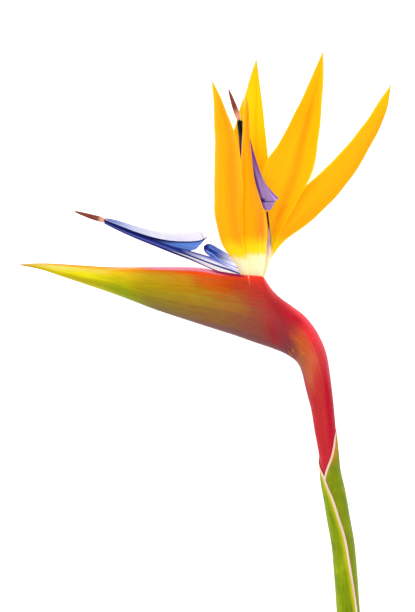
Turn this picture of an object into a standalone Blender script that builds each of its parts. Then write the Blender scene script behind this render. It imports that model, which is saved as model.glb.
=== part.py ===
"""A cut bird of paradise flower (Strelitzia), lying on its side on a table.

The model is written in millimetres from the mouth of the spathe, where the florets come out:
x runs along the spathe away from its beak, y runs up the sepals, and z rises off the table from
the spathe's middle plane. At the end everything is moved so that the origin is on the table,
under the middle of the flower, and the scene is in metres.
"""

import math

import bmesh
import bpy
from mathutils import Vector

MM = 0.001

# Driving sizes, in millimetres.
SPATHE_WALL = 1.2
SEPAL_THICK = 0.9
PETAL_THICK = 0.6
HOOD_THICK = 0.48
SHEATH_THICK = 0.5
SHEATH_PITCH = 0.85
STYLE_RADIUS = 0.45
STIGMA_RADIUS = 0.95
FLORET_RADIUS = 3.9
FLORET_BASE_Y = -5.0
OVARY_LENGTH = 17.0
OVARY_GAP = 0.4

# How the walls thin out, as shares of their thickness, and over what lengths.
SEPAL_TIP_SHARE = 0.3
SEPAL_TIP_LENGTH = 12.0
SPATHE_LEAST_SHARE = 0.16
SPATHE_BEAK = (-118.0, -75.0)
SPATHE_BASE_SHARE = 0.45
SPATHE_BASE = (-60.0, -92.0)
STIGMA_FROM = 0.87

COLOURS = {
    "sepal": (0.93, 0.42, 0.01),
    "petal": (0.10, 0.16, 0.50),
    "spathe": (0.42, 0.10, 0.05),
    "sheath": (0.25, 0.33, 0.03),
    "stalk": (0.40, 0.45, 0.16),
    "ovary": (0.80, 0.74, 0.48),
    "style": (0.45, 0.18, 0.10),
}
ROUGHNESS = {"sepal": 0.45, "petal": 0.4, "spathe": 0.35, "sheath": 0.4}


# ---------------------------------------------------------------- scene, materials and splines


def clear_scene():
    for obj in list(bpy.data.objects):
        bpy.data.objects.remove(obj)


def collection(name):
    made = bpy.data.collections.new(name)
    bpy.context.scene.collection.children.link(made)
    return made


def material(name, kind):
    made = bpy.data.materials.new(name)
    made.use_nodes = True
    shader = made.node_tree.nodes["Principled BSDF"]
    shader.inputs["Base Color"].default_value = (*COLOURS[kind], 1.0)
    shader.inputs["Roughness"].default_value = ROUGHNESS.get(kind, 0.5)
    shader.inputs["Metallic"].default_value = 0.0
    return made


def through(points, steps):
    """A smooth curve through the points, with that many samples to each span."""
    points = [Vector(p) for p in points]
    ends = [2 * points[0] - points[1], *points, 2 * points[-1] - points[-2]]
    found = []
    for before, start, end, after in zip(ends, ends[1:], ends[2:], ends[3:]):
        for i in range(steps):
            t = i / steps
            found.append(
                start
                + 0.5 * t * (end - before)
                + t * t * (before - 2.5 * start + 2 * end - 0.5 * after)
                + 0.5 * t**3 * (3 * start - 3 * end + after - before)
            )
    return [*found, points[-1]]


def smoothstep(low, high, value):
    t = min(1.0, max(0.0, (value - low) / (high - low)))
    return t * t * (3 - 2 * t)


# ---------------------------------------------------------------- sheets


def add_object(name, data, kind):
    obj = bpy.data.objects.new(name, data)
    obj.data.materials.append(material(name + "_colour", kind))
    FLOWER.objects.link(obj)
    return obj


def sheet_mesh(name, *sheets):
    """A mesh of sheets, each of them rows of points. Points that coincide are merged."""
    work = bmesh.new()
    for rows in sheets:
        grid = [[work.verts.new(p * MM) for p in row] for row in rows]
        for one, two in zip(grid, grid[1:]):
            for a, b, c, d in zip(one, one[1:], two[1:], two):
                work.faces.new((a, b, c, d))
    bmesh.ops.remove_doubles(work, verts=work.verts, dist=0.02 * MM)
    data = bpy.data.meshes.new(name)
    work.to_mesh(data)
    work.free()
    data.shade_smooth()
    return data


def thicken(obj, thickness, offset, shares=None):
    """Turns the sheet into a solid wall. The shares, one to a vertex, thin it in places."""
    solidify = obj.modifiers.new("wall", "SOLIDIFY")
    solidify.thickness = thickness * MM
    solidify.offset = offset
    if shares:
        group = obj.vertex_groups.new(name="wall")
        for i, share in enumerate(shares):
            group.add([i], share, "REPLACE")
        solidify.vertex_group = group.name
    return obj


def across(left, middle, right, keel, columns):
    """One row of a blade, from its left edge over the midrib to its right edge.

    A keel of 0 makes the row an arc, and a keel of 1 folds it sharply at the midrib."""
    row = []
    for i in range(columns + 1):
        u = 2 * i / columns - 1
        arc = left * (u * (u - 1) / 2) + middle * (1 - u * u) + right * (u * (u + 1) / 2)
        edge = left if u < 0 else right
        fold = middle.lerp(edge, abs(u))
        row.append(arc.lerp(fold, keel))
    return row


def blade_rows(left, middle, right, keel=0.3, columns=6, steps=3):
    guides = [through(points, steps) for points in (left, middle, right)]
    return [across(*points, keel, columns) for points in zip(*guides)]


def on_ring(centre, azimuth):
    """A point of a floret's base ring. Azimuth 0 faces up from the table, and 90 away from the beak."""
    a = math.radians(azimuth)
    return centre + Vector((FLORET_RADIUS * math.sin(a), 0, FLORET_RADIUS * math.cos(a)))


def sepal(name, centre, azimuths, left, middle, right, keel):
    """A sepal from its place on the floret's ring through its edge and midrib points to its tip."""
    guides = [
        [on_ring(centre, azimuth), *points]
        for azimuth, points in zip(azimuths, (left, middle, right))
    ]
    data = sheet_mesh(name, blade_rows(*guides, keel=keel))
    tip = Vector(middle[-1]) * MM
    shares = []
    for vertex in data.vertices:
        full = smoothstep(0, SEPAL_TIP_LENGTH, (vertex.co - tip).length / MM)
        shares.append(SEPAL_TIP_SHARE + (1 - SEPAL_TIP_SHARE) * full)
    return thicken(add_object(name, data, "sepal"), SEPAL_THICK, 0.0, shares)


# ---------------------------------------------------------------- the spathe

# Each station of the spathe, from the beak's tip to the end of its sheathing base:
# the top of the section, the keel, half of its width, half of the slit, and the height of its middle.
SPATHE = (
    ((-115.0, 5.4), (-114.6, 3.7), 0.9, 0.5, -5.0),
    ((-106.0, 5.7), (-105.5, 2.5), 1.6, 0.8, -4.6),
    ((-96.0, 5.6), (-95.0, -0.7), 2.6, 1.1, -4.2),
    ((-84.0, 4.8), (-82.0, -5.0), 4.0, 1.4, -3.5),
    ((-70.0, 4.0), (-66.0, -10.5), 5.8, 1.6, -2.6),
    ((-55.0, 4.0), (-49.0, -17.0), 7.8, 1.7, -1.7),
    ((-40.0, 4.0), (-33.0, -22.3), 9.6, 1.9, -0.8),
    ((-26.0, 3.5), (-19.0, -26.8), 11.2, 3.6, -0.2),
    ((-13.5, 0.6), (-8.0, -30.3), 12.1, 8.2, 0.0),
    ((-4.5, 0.0), (1.0, -33.5), 12.5, 10.4, 0.0),
    ((2.5, -0.5), (8.0, -35.8), 12.3, 10.4, 0.0),
    ((6.6, -1.5), (12.0, -37.3), 11.6, 9.4, 0.0),
    ((9.4, -8.0), (15.5, -38.5), 10.4, 0.0, 0.0),
    ((15.5, -12.8), (18.5, -40.3), 9.2, 0.0, 0.0),
    ((24.0, -18.3), (21.0, -42.8), 8.2, 0.0, 0.0),
    ((30.5, -25.5), (23.3, -46.0), 7.4, 0.0, 0.0),
    ((34.8, -33.0), (25.0, -50.3), 6.8, 0.0, 0.0),
    ((37.3, -40.0), (26.5, -55.0), 6.4, 0.0, 0.0),
    ((39.0, -50.0), (28.0, -61.0), 6.1, 0.0, -0.1),
    ((40.5, -62.5), (29.7, -67.5), 5.8, 0.0, -0.3),
    ((41.7, -75.0), (31.4, -78.0), 5.3, 0.0, -0.8),
    ((42.7, -87.5), (33.5, -89.5), 4.9, 0.0, -1.4),
    ((43.8, -100.0), (34.9, -102.0), 4.6, 0.0, -2.2),
)
SLIT_END = 12
SPATHE_COLUMNS = 20
SPATHE_FULLNESS = 0.22


def spathe_section(top, keel, half_width, slit, middle_z):
    """Half turns round the section, from the edge of the slit over the keel to its other edge."""
    top, keel = Vector((*top, middle_z)), Vector((*keel, middle_z))
    row = []
    for i in range(SPATHE_COLUMNS + 1):
        turn = math.pi * (2 * i / SPATHE_COLUMNS - 1)
        height = (1 - math.cos(turn)) / 2
        fullness = 1 - (SPATHE_FULLNESS if slit else 0) * math.cos(turn)
        side = half_width * math.sin(turn) * fullness
        side += math.copysign(slit * smoothstep(0.55, 1.0, abs(turn) / math.pi), turn)
        row.append(keel.lerp(top, height) + Vector((0, 0, side)))
    return row


def spathe():
    """The boat-shaped bract. Its slit ends at the heel, and its base sheathes the top of the stalk."""
    steps = 2
    tops = through([(*s[0], s[4]) for s in SPATHE], steps)
    keels = through([(*s[1], s[4]) for s in SPATHE], steps)
    sizes = through([(s[2], s[3], 0) for s in SPATHE], steps)
    rows, shares = [], []
    last_open = SLIT_END * steps
    for i, (top, keel, size) in enumerate(zip(tops, keels, sizes)):
        slit = max(0.0, size.y) if i < last_open else 0.0
        rows.append(spathe_section(top[:2], keel[:2], size.x, slit, top.z))
    data = sheet_mesh("spathe", rows)
    for vertex in data.vertices:
        x, y = vertex.co.x / MM, vertex.co.y / MM
        beak = smoothstep(*SPATHE_BEAK, x)
        base = 1 - (1 - SPATHE_BASE_SHARE) * smoothstep(*SPATHE_BASE, y)
        shares.append(max(SPATHE_LEAST_SHARE, beak * base))
    obj = add_object("spathe", data, "spathe")
    return thicken(obj, SPATHE_WALL, 1.0, shares)


# ---------------------------------------------------------------- the stalk and its sheath

STALK = (
    (4.0, -26.5, 0.0),
    (10.0, -28.5, 0.0),
    (17.0, -31.5, 0.0),
    (23.5, -35.8, 0.0),
    (28.8, -43.0, 0.0),
    (32.3, -52.5, 0.0),
    (35.0, -64.5, -0.3),
    (36.6, -76.5, -0.8),
    (38.1, -88.5, -1.4),
    (39.6, -101.0, -2.2),
    (42.1, -113.5, -3.1),
    (44.0, -126.0, -4.0),
    (45.5, -138.5, -4.9),
    (46.6, -151.0, -5.8),
    (47.5, -163.5, -6.6),
    (48.7, -180.0, -7.6),
    (50.3, -208.5, -9.0),
)
STALK_RADII = (2.2, 2.7, 3.2, 3.7, 3.8, 3.8, 3.8, 3.7, 3.5, 3.5, 4.0, 4.1, 4.1, 4.1, 4.1, 4.1, 4.1)

# The margins of the sheath, by height up the stalk: the angle where the sheet starts, under the
# lap, and the angle where it ends, over it. 0 faces up from the table and 90 away from the beak.
SHEATH = (
    (-78.0, 82, 98),
    (-81.0, 50, 140),
    (-86.0, 29, 195),
    (-90.3, 10, 235),
    (-94.8, -15, 279),
    (-99.6, -40, 317),
    (-106.0, -66, 336),
    (-113.0, -80, 351),
    (-127.5, -84, 371),
    (-142.5, -84, 381),
    (-155.0, -84, 393),
    (-168.0, -84, 404),
    (-185.0, -84, 412),
    (-208.0, -84, 420),
)
SHEATH_INNER = 4.75
SHEATH_COLUMNS = 26
SHEATH_FIRST_ANGLE = -84
SHEATH_STAND_OFF = 0.75
SHEATH_STAND_OFF_FROM = (-108, -98)


def tube(name, path, radii, kind, sides=3):
    """A round solid along the path, as thick at each point as the radii say."""
    data = bpy.data.curves.new(name, "CURVE")
    data.dimensions = "3D"
    data.bevel_depth = MM
    data.bevel_resolution = sides
    data.use_fill_caps = True
    spline = data.splines.new("POLY")
    spline.points.add(len(path) - 1)
    for point, place, radius in zip(spline.points, path, radii):
        point.co = (*(Vector(place) * MM), 1)
        point.radius = radius
    return add_object(name, data, kind)


def stalk():
    steps = 2
    path = through(STALK, steps)
    radii = [r.x for r in through([(r, 0, 0) for r in STALK_RADII], steps)]
    return tube("peduncle", path, radii, "stalk", sides=4)


def stalk_frame(height):
    """The stalk's centre at a height, and its sideways direction there."""
    path = through(STALK, 8)
    for one, two in zip(path, path[1:]):
        if two.y <= height <= one.y:
            share = (one.y - height) / (one.y - two.y)
            along = (one - two).normalized()
            sideways = along.cross(Vector((0, 0, 1))).normalized()
            return one.lerp(two, share), along, sideways
    return path[-1], Vector((0, 1, 0)), Vector((1, 0, 0))


def sheath_radius(height, angle):
    """The sheet winds outwards, and stands off where the spathe's base is still under it."""
    over_spathe = SHEATH_STAND_OFF * smoothstep(*SHEATH_STAND_OFF_FROM, height)
    return SHEATH_INNER + over_spathe + SHEATH_PITCH * (angle - SHEATH_FIRST_ANGLE) / 360


def sheath():
    """The green bract that wraps the stalk, with one margin lapped over the other."""
    rows = []
    for height, start, end in through(SHEATH, 2):
        centre, along, sideways = stalk_frame(height)
        up = sideways.cross(along).normalized()
        row = []
        for i in range(SHEATH_COLUMNS + 1):
            angle = start + (end - start) * i / SHEATH_COLUMNS
            radius = sheath_radius(height, angle)
            a = math.radians(angle)
            row.append(centre + radius * (math.sin(a) * sideways + math.cos(a) * up))
        rows.append(row)
    obj = add_object("stem_sheath", sheet_mesh("stem_sheath", rows), "sheath")
    return thicken(obj, SHEATH_THICK, 0.0)


# ---------------------------------------------------------------- the florets


def ovary(name, centre):
    """The swollen base of a floret, inside the spathe: a turned solid on a short foot."""
    top = centre.y - OVARY_GAP
    profile = [
        (0.0, 0.0),
        (FLORET_RADIUS - 0.3, 0.0),
        (FLORET_RADIUS, -2.0),
        (FLORET_RADIUS - 0.1, -6.0),
        (2.6, -11.5),
        (1.5, -OVARY_LENGTH + 1.0),
        (0.0, -OVARY_LENGTH),
    ]
    data = bpy.data.meshes.new(name)
    data.from_pydata(
        [(x * MM, 0, z * MM) for x, z in profile], [(i, i + 1) for i in range(len(profile) - 1)], []
    )
    obj = add_object(name, data, "ovary")
    screw = obj.modifiers.new("turn", "SCREW")
    screw.steps = screw.render_steps = 18
    screw.use_merge_vertices = True
    screw.merge_threshold = 0.00001
    obj.location = Vector((centre.x, top, centre.z)) * MM
    obj.rotation_euler = (-math.pi / 2, 0, 0)
    return obj


def style(name, path):
    """The thread from the ovary along the arrow's groove. It thickens into the stigma past the arrow."""
    steps = 3
    points = through(path, steps)
    radii = []
    for i in range(len(points)):
        t = i / (len(points) - 1)
        swell = smoothstep(STIGMA_FROM - 0.03, STIGMA_FROM + 0.02, t)
        taper = 1 - 0.65 * smoothstep(STIGMA_FROM + 0.02, 1.0, t)
        radii.append((STYLE_RADIUS + (STIGMA_RADIUS - STYLE_RADIUS) * swell) * taper)
    return tube(name, points, radii, "style", sides=2)


def arrow(name, rims, trough, wings, notch):
    """The two joined blue petals: a trough all the way up to the point, with a wing on each side.

    The wings start at the notch, where they reach back as barbs. Each wing is given by its middle
    and its outer edge, at every point of the trough from the notch on."""
    steps = 3
    rows = blade_rows(rims[0], trough, rims[1], keel=0.0, columns=6, steps=steps)
    sheets = [rows]
    for side, (middle, outer) in zip((0, -1), wings):
        guides = zip(through(middle, steps), through(outer, steps))
        wing = []
        for row, (mid, out) in zip(rows[notch * steps :], guides):
            wing.append(across(row[side], mid, out, 0.0, 4))
        sheets.append(wing)
    data = sheet_mesh(name, *sheets)
    work = bmesh.new()
    work.from_mesh(data)
    bmesh.ops.recalc_face_normals(work, faces=work.faces)
    work.to_mesh(data)
    work.free()
    return thicken(add_object(name, data, "petal"), PETAL_THICK, 0.0)


def hood(name, left, middle, right):
    obj = add_object(name, sheet_mesh(name, blade_rows(left, middle, right, keel=0.1)), "petal")
    return thicken(obj, HOOD_THICK, 0.0)


def floret_a():
    """The floret nearer the beak, with its arrow laid out over the spathe."""
    base = Vector((-0.5, FLORET_BASE_Y, 4.3))
    ovary("floret_a_ovary", base)
    sepal(
        "floret_a_sepal_outer",
        base,
        (-62, -28, 4),
        [(-7.6, 5, 8.8), (-14.8, 16, 12.8), (-18.5, 31, 19), (-18.8, 49.5, 24), (-18.8, 66.5, 28),
         (-19.3, 84, 31), (-20, 93.5, 32)],
        [(-5.4, 5, 10.8), (-10, 16, 17.5), (-12.8, 31, 24), (-13, 49.5, 29), (-13.6, 66.5, 32),
         (-17, 83, 33), (-20, 93.5, 32)],
        [(-2, 5, 10.1), (-4.3, 16, 13.4), (-5, 31, 17), (-5, 49.5, 21.5), (-7, 65.5, 26),
         (-14, 81.5, 31), (-20, 93.5, 32)],
        keel=0.3,
    )
    sepal(
        "floret_a_sepal_middle",
        base,
        (18, 62, 105),
        [(-1.4, 4.5, 7.9), (-4.0, 15, 10.4), (-5, 30, 13.5), (-5, 49.5, 17), (-5, 67, 18),
         (-4.5, 81, 18.5), (-3.5, 90, 19)],
        [(2.6, 4.5, 8.8), (1.4, 15, 13), (1, 30, 16.5), (-1.2, 49.5, 18), (-2.8, 67, 19.5),
         (-3.1, 81, 19.9), (-3.5, 90, 19)],
        [(6, 4.5, 5.6), (7.2, 15, 7), (7, 30, 8.5), (1.5, 47, 11.5), (-0.6, 62, 14.5),
         (-1.6, 79, 17.5), (-3.5, 90, 19)],
        keel=0.3,
    )
    sepal(
        "floret_a_sepal_inner",
        base,
        (232, 180, 132),
        [(-5.5, 5, 0.2), (-10.5, 17.5, 0), (-15, 35, 0), (-15, 52.5, 1), (-11, 66.5, 2),
         (-6.8, 80, 3), (-4, 89, 3)],
        [(-2.8, 5, -1.7), (-4.5, 17.5, -4), (-6.5, 35, -5), (-7, 52.5, -4.5), (-6, 66.5, -2),
         (-4.5, 80, 1.5), (-4, 89, 3)],
        [(0, 5, -1.2), (1, 17.5, -3), (1, 35, -3.5), (0, 52.5, -2.5), (-1, 66.5, -0.5),
         (-2.5, 80, 2), (-4, 89, 3)],
        keel=0.3,
    )
    trough = [(-2.5, -5, 4.3), (-4.0, -1.2, 4.3), (-9, 0.9, 4.3), (-18.5, 3.4, 4.5), (-30, 7.4, 4.9),
              (-38, 10.3, 5.1), (-47, 13.9, 5.3), (-57, 17.9, 5.6), (-66, 21.9, 5.9), (-73.5, 25.6, 6)]
    rim = [(0.1, -5), (-2.0, 1.8), (-8, 4.4), (-17.3, 7.2), (-31.2, 11.8), (-38.5, 14.2), (-47.3, 17),
           (-57.2, 20.3), (-66, 23.6), (-73.5, 26.9)]
    spread = (1.2, 1.6, 1.9, 2.0, 2.0, 2.0, 1.9, 1.7, 1.5, 1.1)
    arrow(
        "floret_a_arrow",
        (
            [(x, y, place[2] + s) for (x, y), place, s in zip(rim, trough, spread)],
            [(x, y, place[2] - s) for (x, y), place, s in zip(rim, trough, spread)],
        ),
        trough,
        (
            (
                [(-26.2, 14.6, 8.6), (-35.5, 15.2, 8.8), (-46, 17, 8.5), (-57.1, 20.6, 7.9),
                 (-66.5, 24.2, 7.6), (-73.6, 27.3, 7)],
                [(-22, 19.5, 9.5), (-33.5, 16.8, 10.2), (-45, 17.8, 9.6), (-57, 21.2, 8.6),
                 (-67, 25.0, 8), (-73.7, 27.8, 7.3)],
            ),
            (
                [(-27.2, 14.6, 1.4), (-36.3, 17.5, 1.2), (-45.8, 19.2, 1.9), (-56.3, 21.9, 2.9),
                 (-65.8, 25.3, 4), (-73.4, 27.7, 4.9)],
                [(-24.5, 19, 0.4), (-34.5, 21, -0.3), (-44, 21.2, 0.6), (-55, 23.4, 2.2),
                 (-65.5, 27, 3.6), (-73.3, 28.5, 4.6)],
            ),
        ),
        notch=4,
    )
    hood(
        "floret_a_hood",
        [(1.3, -4.6, 5.6), (-0.6, 3.1, 6.3), (-7.3, 6.1, 6.8), (-13.8, 8.1, 7), (-20.4, 10.4, 6.6),
         (-23.8, 13.5, 4.9)],
        [(1.9, -4.6, 4.3), (0.5, 4.4, 4.4), (-7, 9.2, 4.6), (-13.6, 12.6, 4.7), (-19.4, 15, 4.8),
         (-23.8, 13.5, 4.9)],
        [(1.3, -4.6, 3.0), (-0.6, 3.1, 2.3), (-7.3, 6.1, 2.0), (-13.8, 8.1, 2.2), (-20.4, 10.4, 3),
         (-23.8, 13.5, 4.9)],
    )
    style(
        "floret_a_style",
        [(-0.8, -4.8, 4.3), (-2.6, 0.2, 4.3), (-8.5, 2.8, 4.3), (-17.9, 5.4, 4.5), (-29.3, 9.4, 4.9),
         (-37.3, 12.3, 5.1), (-46.4, 15.7, 5.3), (-56.4, 19.6, 5.6), (-65.5, 23.5, 5.9),
         (-73.3, 27.1, 6), (-80, 29.3, 6), (-88.3, 31.8, 6)],
    )


def floret_b():
    """The floret nearer the heel, with its arrow upright between the sepals."""
    base = Vector((1.6, FLORET_BASE_Y, -4.2))
    ovary("floret_b_ovary", base)
    sepal(
        "floret_b_sepal_back",
        base,
        (-60, -105, -148),
        [(0.3, 5, -7.6), (-1, 20, -9), (-3, 37.5, -8.5), (-4.5, 55, -7.5), (-5, 72.5, -6.5),
         (-3, 90, -5.5), (2.3, 108.5, -4)],
        [(2.8, 5, -9), (3.5, 20, -11.3), (3, 37.5, -11.5), (2.5, 55, -11), (2.3, 72.5, -10),
         (2.3, 91, -8), (2.3, 108.5, -4)],
        [(4.6, 5, -8.6), (8, 20, -9.2), (9, 37.5, -8.5), (8.5, 55, -7.5), (6.8, 72.5, -6.5),
         (4.4, 91, -5.5), (2.3, 108.5, -4)],
        keel=0.3,
    )
    sepal(
        "floret_b_sepal_wide",
        base,
        (58, 92, 124),
        [(6.1, 6, -4.9), (4.4, 20, -5), (3.2, 38, -3.5), (6, 54.5, -1), (14.3, 67.3, 1),
         (26, 90, 6), (34.9, 110.7, 10)],
        [(7.4, 6.5, -6.0), (10.5, 21.5, -8.4), (15, 37.5, -8.3), (20, 53.5, -7), (24.5, 71.5, -3.5),
         (30.5, 92, 3), (34.9, 110.7, 10)],
        [(7.8, 6.5, -6.4), (14.3, 21.5, -7), (22.5, 37.5, -6), (29, 50, -4), (33, 68, -1),
         (34.8, 90, 4), (34.9, 110.7, 10)],
        keel=0.3,
    )
    sepal(
        "floret_b_sepal_side",
        base,
        (140, 168, 198),
        [(7.5, 5.6, -7.7), (15, 20, -9.6), (24, 37.5, -10), (36, 53, -8.5), (50, 68.5, -6.5),
         (62, 84.5, -5), (69.8, 95.3, -5)],
        [(8.2, 4.5, -9.0), (16.5, 16.8, -11.2), (30.5, 28.5, -12.6), (46, 45, -12.9), (58.5, 64.5, -11.7),
         (66.5, 81.5, -8.2), (69.8, 95.3, -5)],
        [(6.0, 5.6, -9.6), (13.6, 19.5, -12.2), (26.5, 34, -13.6), (40, 50, -14.2), (53, 67.5, -13),
         (63.2, 83, -9.6), (69.8, 95.3, -5)],
        keel=0.3,
    )
    trough = [(1.6, -5, -2.5), (2.9, 2, -1.0), (3.8, 12, 1.5), (3.2, 25, 3.8), (2, 35, 4.8),
              (-0.5, 47, 5.8), (-2.9, 58.5, 7.1), (-4.6, 67.5, 8.3), (-5.9, 73.5, 9.2), (-6.4, 76.5, 9.7)]
    spread = (1.1, 1.5, 1.8, 2, 2, 2, 1.7, 1.4, 1.1, 0.8)
    depth = (3, 3.2, 3.4, 3.4, 3.4, 3.1, 2.5, 1.9, 1.4, 1.0)
    arrow(
        "floret_b_arrow",
        (
            [(x - s, y, z - d) for (x, y, z), s, d in zip(trough, spread, depth)],
            [(x + s, y, z - d) for (x, y, z), s, d in zip(trough, spread, depth)],
        ),
        trough,
        (
            (
                [(-4.8, 34.3, 1.3), (-5.6, 46.5, 2.4), (-5.6, 58, 4.4), (-6.5, 67, 6.3),
                 (-7.5, 73.3, 7.6), (-7.6, 76.4, 8.5)],
                [(-9, 38.5, 1.2), (-8.6, 48, 2.1), (-6.9, 58, 4.2), (-7.1, 67, 6),
                 (-7.9, 73.3, 7.3), (-7.9, 76.4, 8.2)],
            ),
            (
                [(8.8, 33.4, 1.6), (4.1, 46.8, 2.5), (0.6, 58, 4.4), (-1.8, 67, 6.2),
                 (-4.1, 73.3, 7.6), (-5.1, 76.4, 8.5)],
                [(12.7, 38, 2), (6.1, 47.5, 2.5), (2, 58, 4.2), (-0.8, 67, 5.9),
                 (-3.6, 73.3, 7.3), (-4.7, 76.4, 8.2)],
            ),
        ),
        notch=4,
    )
    hood(
        "floret_b_hood",
        [(2.6, -4.6, -0.9), (5.7, 3, 0.1), (7.0, 12, 0.6), (8.3, 19.5, 1), (7.6, 27, 1.8),
         (7.0, 31, 1.8)],
        [(3.4, -4.6, -1.2), (6.7, 3, 0.1), (8.2, 12, 0.9), (8.9, 19.5, 1.2), (8.0, 27, 1.9),
         (7.5, 31.3, 2.3)],
        [(4.1, -4.6, -1.7), (7.4, 3, -0.7), (9.2, 12, 0), (9.4, 19.5, 0.6), (8.4, 27, 1.5),
         (8.1, 31, 1.6)],
    )
    style(
        "floret_b_style",
        [(1.6, -4.8, -4.5), (2.9, 2, -3.2), (3.8, 12, -0.9), (3.2, 25, 1.4), (2, 35, 2.4),
         (-0.5, 47, 3.6), (-2.9, 58.5, 5.3), (-4.6, 67.5, 6.8), (-5.9, 73.5, 7.7), (-6.6, 77.5, 8.3),
         (-8.4, 83.5, 8.5), (-11.3, 91.8, 8.8)],
    )


# ---------------------------------------------------------------- placing the flower


def settle():
    """Moves the flower so that the origin is on the table, under the middle of its box."""
    graph = bpy.context.evaluated_depsgraph_get()
    places = []
    for obj in FLOWER.objects:
        solid = obj.evaluated_get(graph).to_mesh()
        places += [obj.matrix_world @ v.co for v in solid.vertices]
    low = Vector(min(p[i] for p in places) for i in range(3))
    high = Vector(max(p[i] for p in places) for i in range(3))
    shift = Vector((-(low.x + high.x) / 2, -(low.y + high.y) / 2, -low.z))
    root = bpy.data.objects.new("flower_origin", None)
    FLOWER.objects.link(root)
    for obj in FLOWER.objects:
        if obj is not root:
            obj.parent = root
    root.location = shift
    print("mouth of the spathe at", [round(v / MM, 2) for v in shift], "mm")


clear_scene()
FLOWER = collection("bird_of_paradise_flower")
spathe()
stalk()
sheath()
floret_a()
floret_b()
settle()
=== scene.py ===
# %% [markdown]
# # A bird of paradise flower, cut and laid on its side
# The flower is a bract shaped like a crane's head, with two florets standing out of it like a crest.
# Everything here is a thin living sheet, rolled, folded or lapped over something, so nearly every
# piece is made in one way: a few curves are drawn for the edges and the fold of the sheet, a surface
# is stretched between them, Geometry Nodes raise its veins, and a wall gives it thickness.
# The design is measured in millimetres from the mouth of the bract, the spathe, where the florets
# come out. x runs away from the beak, y up the sepals, and z up from the spathe's middle plane.

# %% Load the fixed frame
import math

import bmesh
import bpy
import numpy as np
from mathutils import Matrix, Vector, noise


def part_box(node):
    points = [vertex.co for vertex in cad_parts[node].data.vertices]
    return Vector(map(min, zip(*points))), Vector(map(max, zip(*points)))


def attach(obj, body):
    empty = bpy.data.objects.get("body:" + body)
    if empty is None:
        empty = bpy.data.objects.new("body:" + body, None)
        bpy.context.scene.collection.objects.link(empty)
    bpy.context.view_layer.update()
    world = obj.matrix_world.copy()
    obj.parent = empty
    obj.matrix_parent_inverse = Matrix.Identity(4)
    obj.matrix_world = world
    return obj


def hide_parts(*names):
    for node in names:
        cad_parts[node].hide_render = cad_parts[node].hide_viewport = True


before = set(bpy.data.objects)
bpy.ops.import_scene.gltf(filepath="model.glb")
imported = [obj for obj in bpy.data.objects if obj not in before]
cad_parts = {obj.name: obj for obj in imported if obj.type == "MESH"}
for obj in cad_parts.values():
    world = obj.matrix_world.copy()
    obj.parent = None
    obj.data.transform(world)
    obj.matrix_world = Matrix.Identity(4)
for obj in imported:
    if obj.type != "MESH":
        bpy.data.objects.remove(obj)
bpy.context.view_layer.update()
print("nodes in the frame:", len(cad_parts))

# %% [markdown]
# ## Where the design stands in the frame
# The frame's origin is on the table, under the middle of the flower. Floret A's ovary is a turned
# solid whose place in the design is known, so its box gives the step from one to the other.

# %% Find the mouth of the spathe
MM = 0.001
FLORET_RADIUS = 3.9
FLORET_BASE_Y = -5.0
OVARY_GAP = 0.4
BASE_A = Vector((-0.5, FLORET_BASE_Y, 4.3))
BASE_B = Vector((1.6, FLORET_BASE_Y, -4.2))

ovary_low, ovary_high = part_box("floret_a_ovary")
MOUTH = Vector(
    (
        (ovary_low.x + ovary_high.x) / 2 / MM - BASE_A.x,
        ovary_high.y / MM - (BASE_A.y - OVARY_GAP),
        (ovary_low.z + ovary_high.z) / 2 / MM - BASE_A.z,
    )
)
print("mouth of the spathe, mm:", [round(v, 2) for v in MOUTH])

# %% [markdown]
# ## Table, light and camera
# The flower lies on a pale table, and the camera looks straight down on it through a long lens, so
# it is seen square on. A bright even sky fills the shadows between the petals, and one broad lamp
# from the upper left gives the folds their form.

# %% The table
TABLE_SIZE = 6.0
TABLE_GLOW = 0.7
CAMERA_AIM = Vector((-22.25, -15.5, 0.0))
VIEW_HEIGHT = 306.0
SENSOR = 36.0
LENS = 120.0


def make_table():
    data = bpy.data.meshes.new("table")
    half = TABLE_SIZE / 2
    corners = [(-half, -half, 0), (half, -half, 0), (half, half, 0), (-half, half, 0)]
    data.from_pydata(corners, [], [(0, 1, 2, 3)])
    table = bpy.data.objects.new("table", data)
    bpy.context.scene.collection.objects.link(table)
    finish = bpy.data.materials.new("table_white")
    finish.use_nodes = True
    shader = finish.node_tree.nodes["Principled BSDF"]
    shader.inputs["Base Color"].default_value = (0.9, 0.9, 0.9, 1)
    shader.inputs["Roughness"].default_value = 0.9
    shader.inputs["Specular IOR Level"].default_value = 0.1
    shader.inputs["Emission Color"].default_value = (1, 1, 1, 1)
    shader.inputs["Emission Strength"].default_value = TABLE_GLOW
    data.materials.append(finish)
    print("table side, m:", TABLE_SIZE)


make_table()


# %% The light
def make_sky(strength):
    world = bpy.data.worlds.new("studio")
    world.use_nodes = True
    sky = world.node_tree.nodes["Background"]
    sky.inputs["Color"].default_value = (1, 1, 1, 1)
    sky.inputs["Strength"].default_value = strength
    bpy.context.scene.world = world


def make_lamp(name, place, size, power):
    """A round lamp of that size in metres, turned towards the flower."""
    data = bpy.data.lights.new(name, "AREA")
    data.shape = "DISK"
    data.size = size
    data.energy = power
    lamp = bpy.data.objects.new(name, data)
    lamp.location = place
    lamp.rotation_euler = (-Vector(place)).to_track_quat("-Z", "Y").to_euler()
    bpy.context.scene.collection.objects.link(lamp)


make_sky(strength=0.8)
make_lamp("key_lamp", place=(-0.55, 0.75, 1.1), size=0.8, power=5.5)
make_lamp("fill_lamp", place=(0.9, -0.5, 0.9), size=0.9, power=2.0)
scene = bpy.context.scene
scene.view_settings.view_transform = "Standard"
scene.view_settings.look = "None"
print("lamps:", len(bpy.data.lights))


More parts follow.
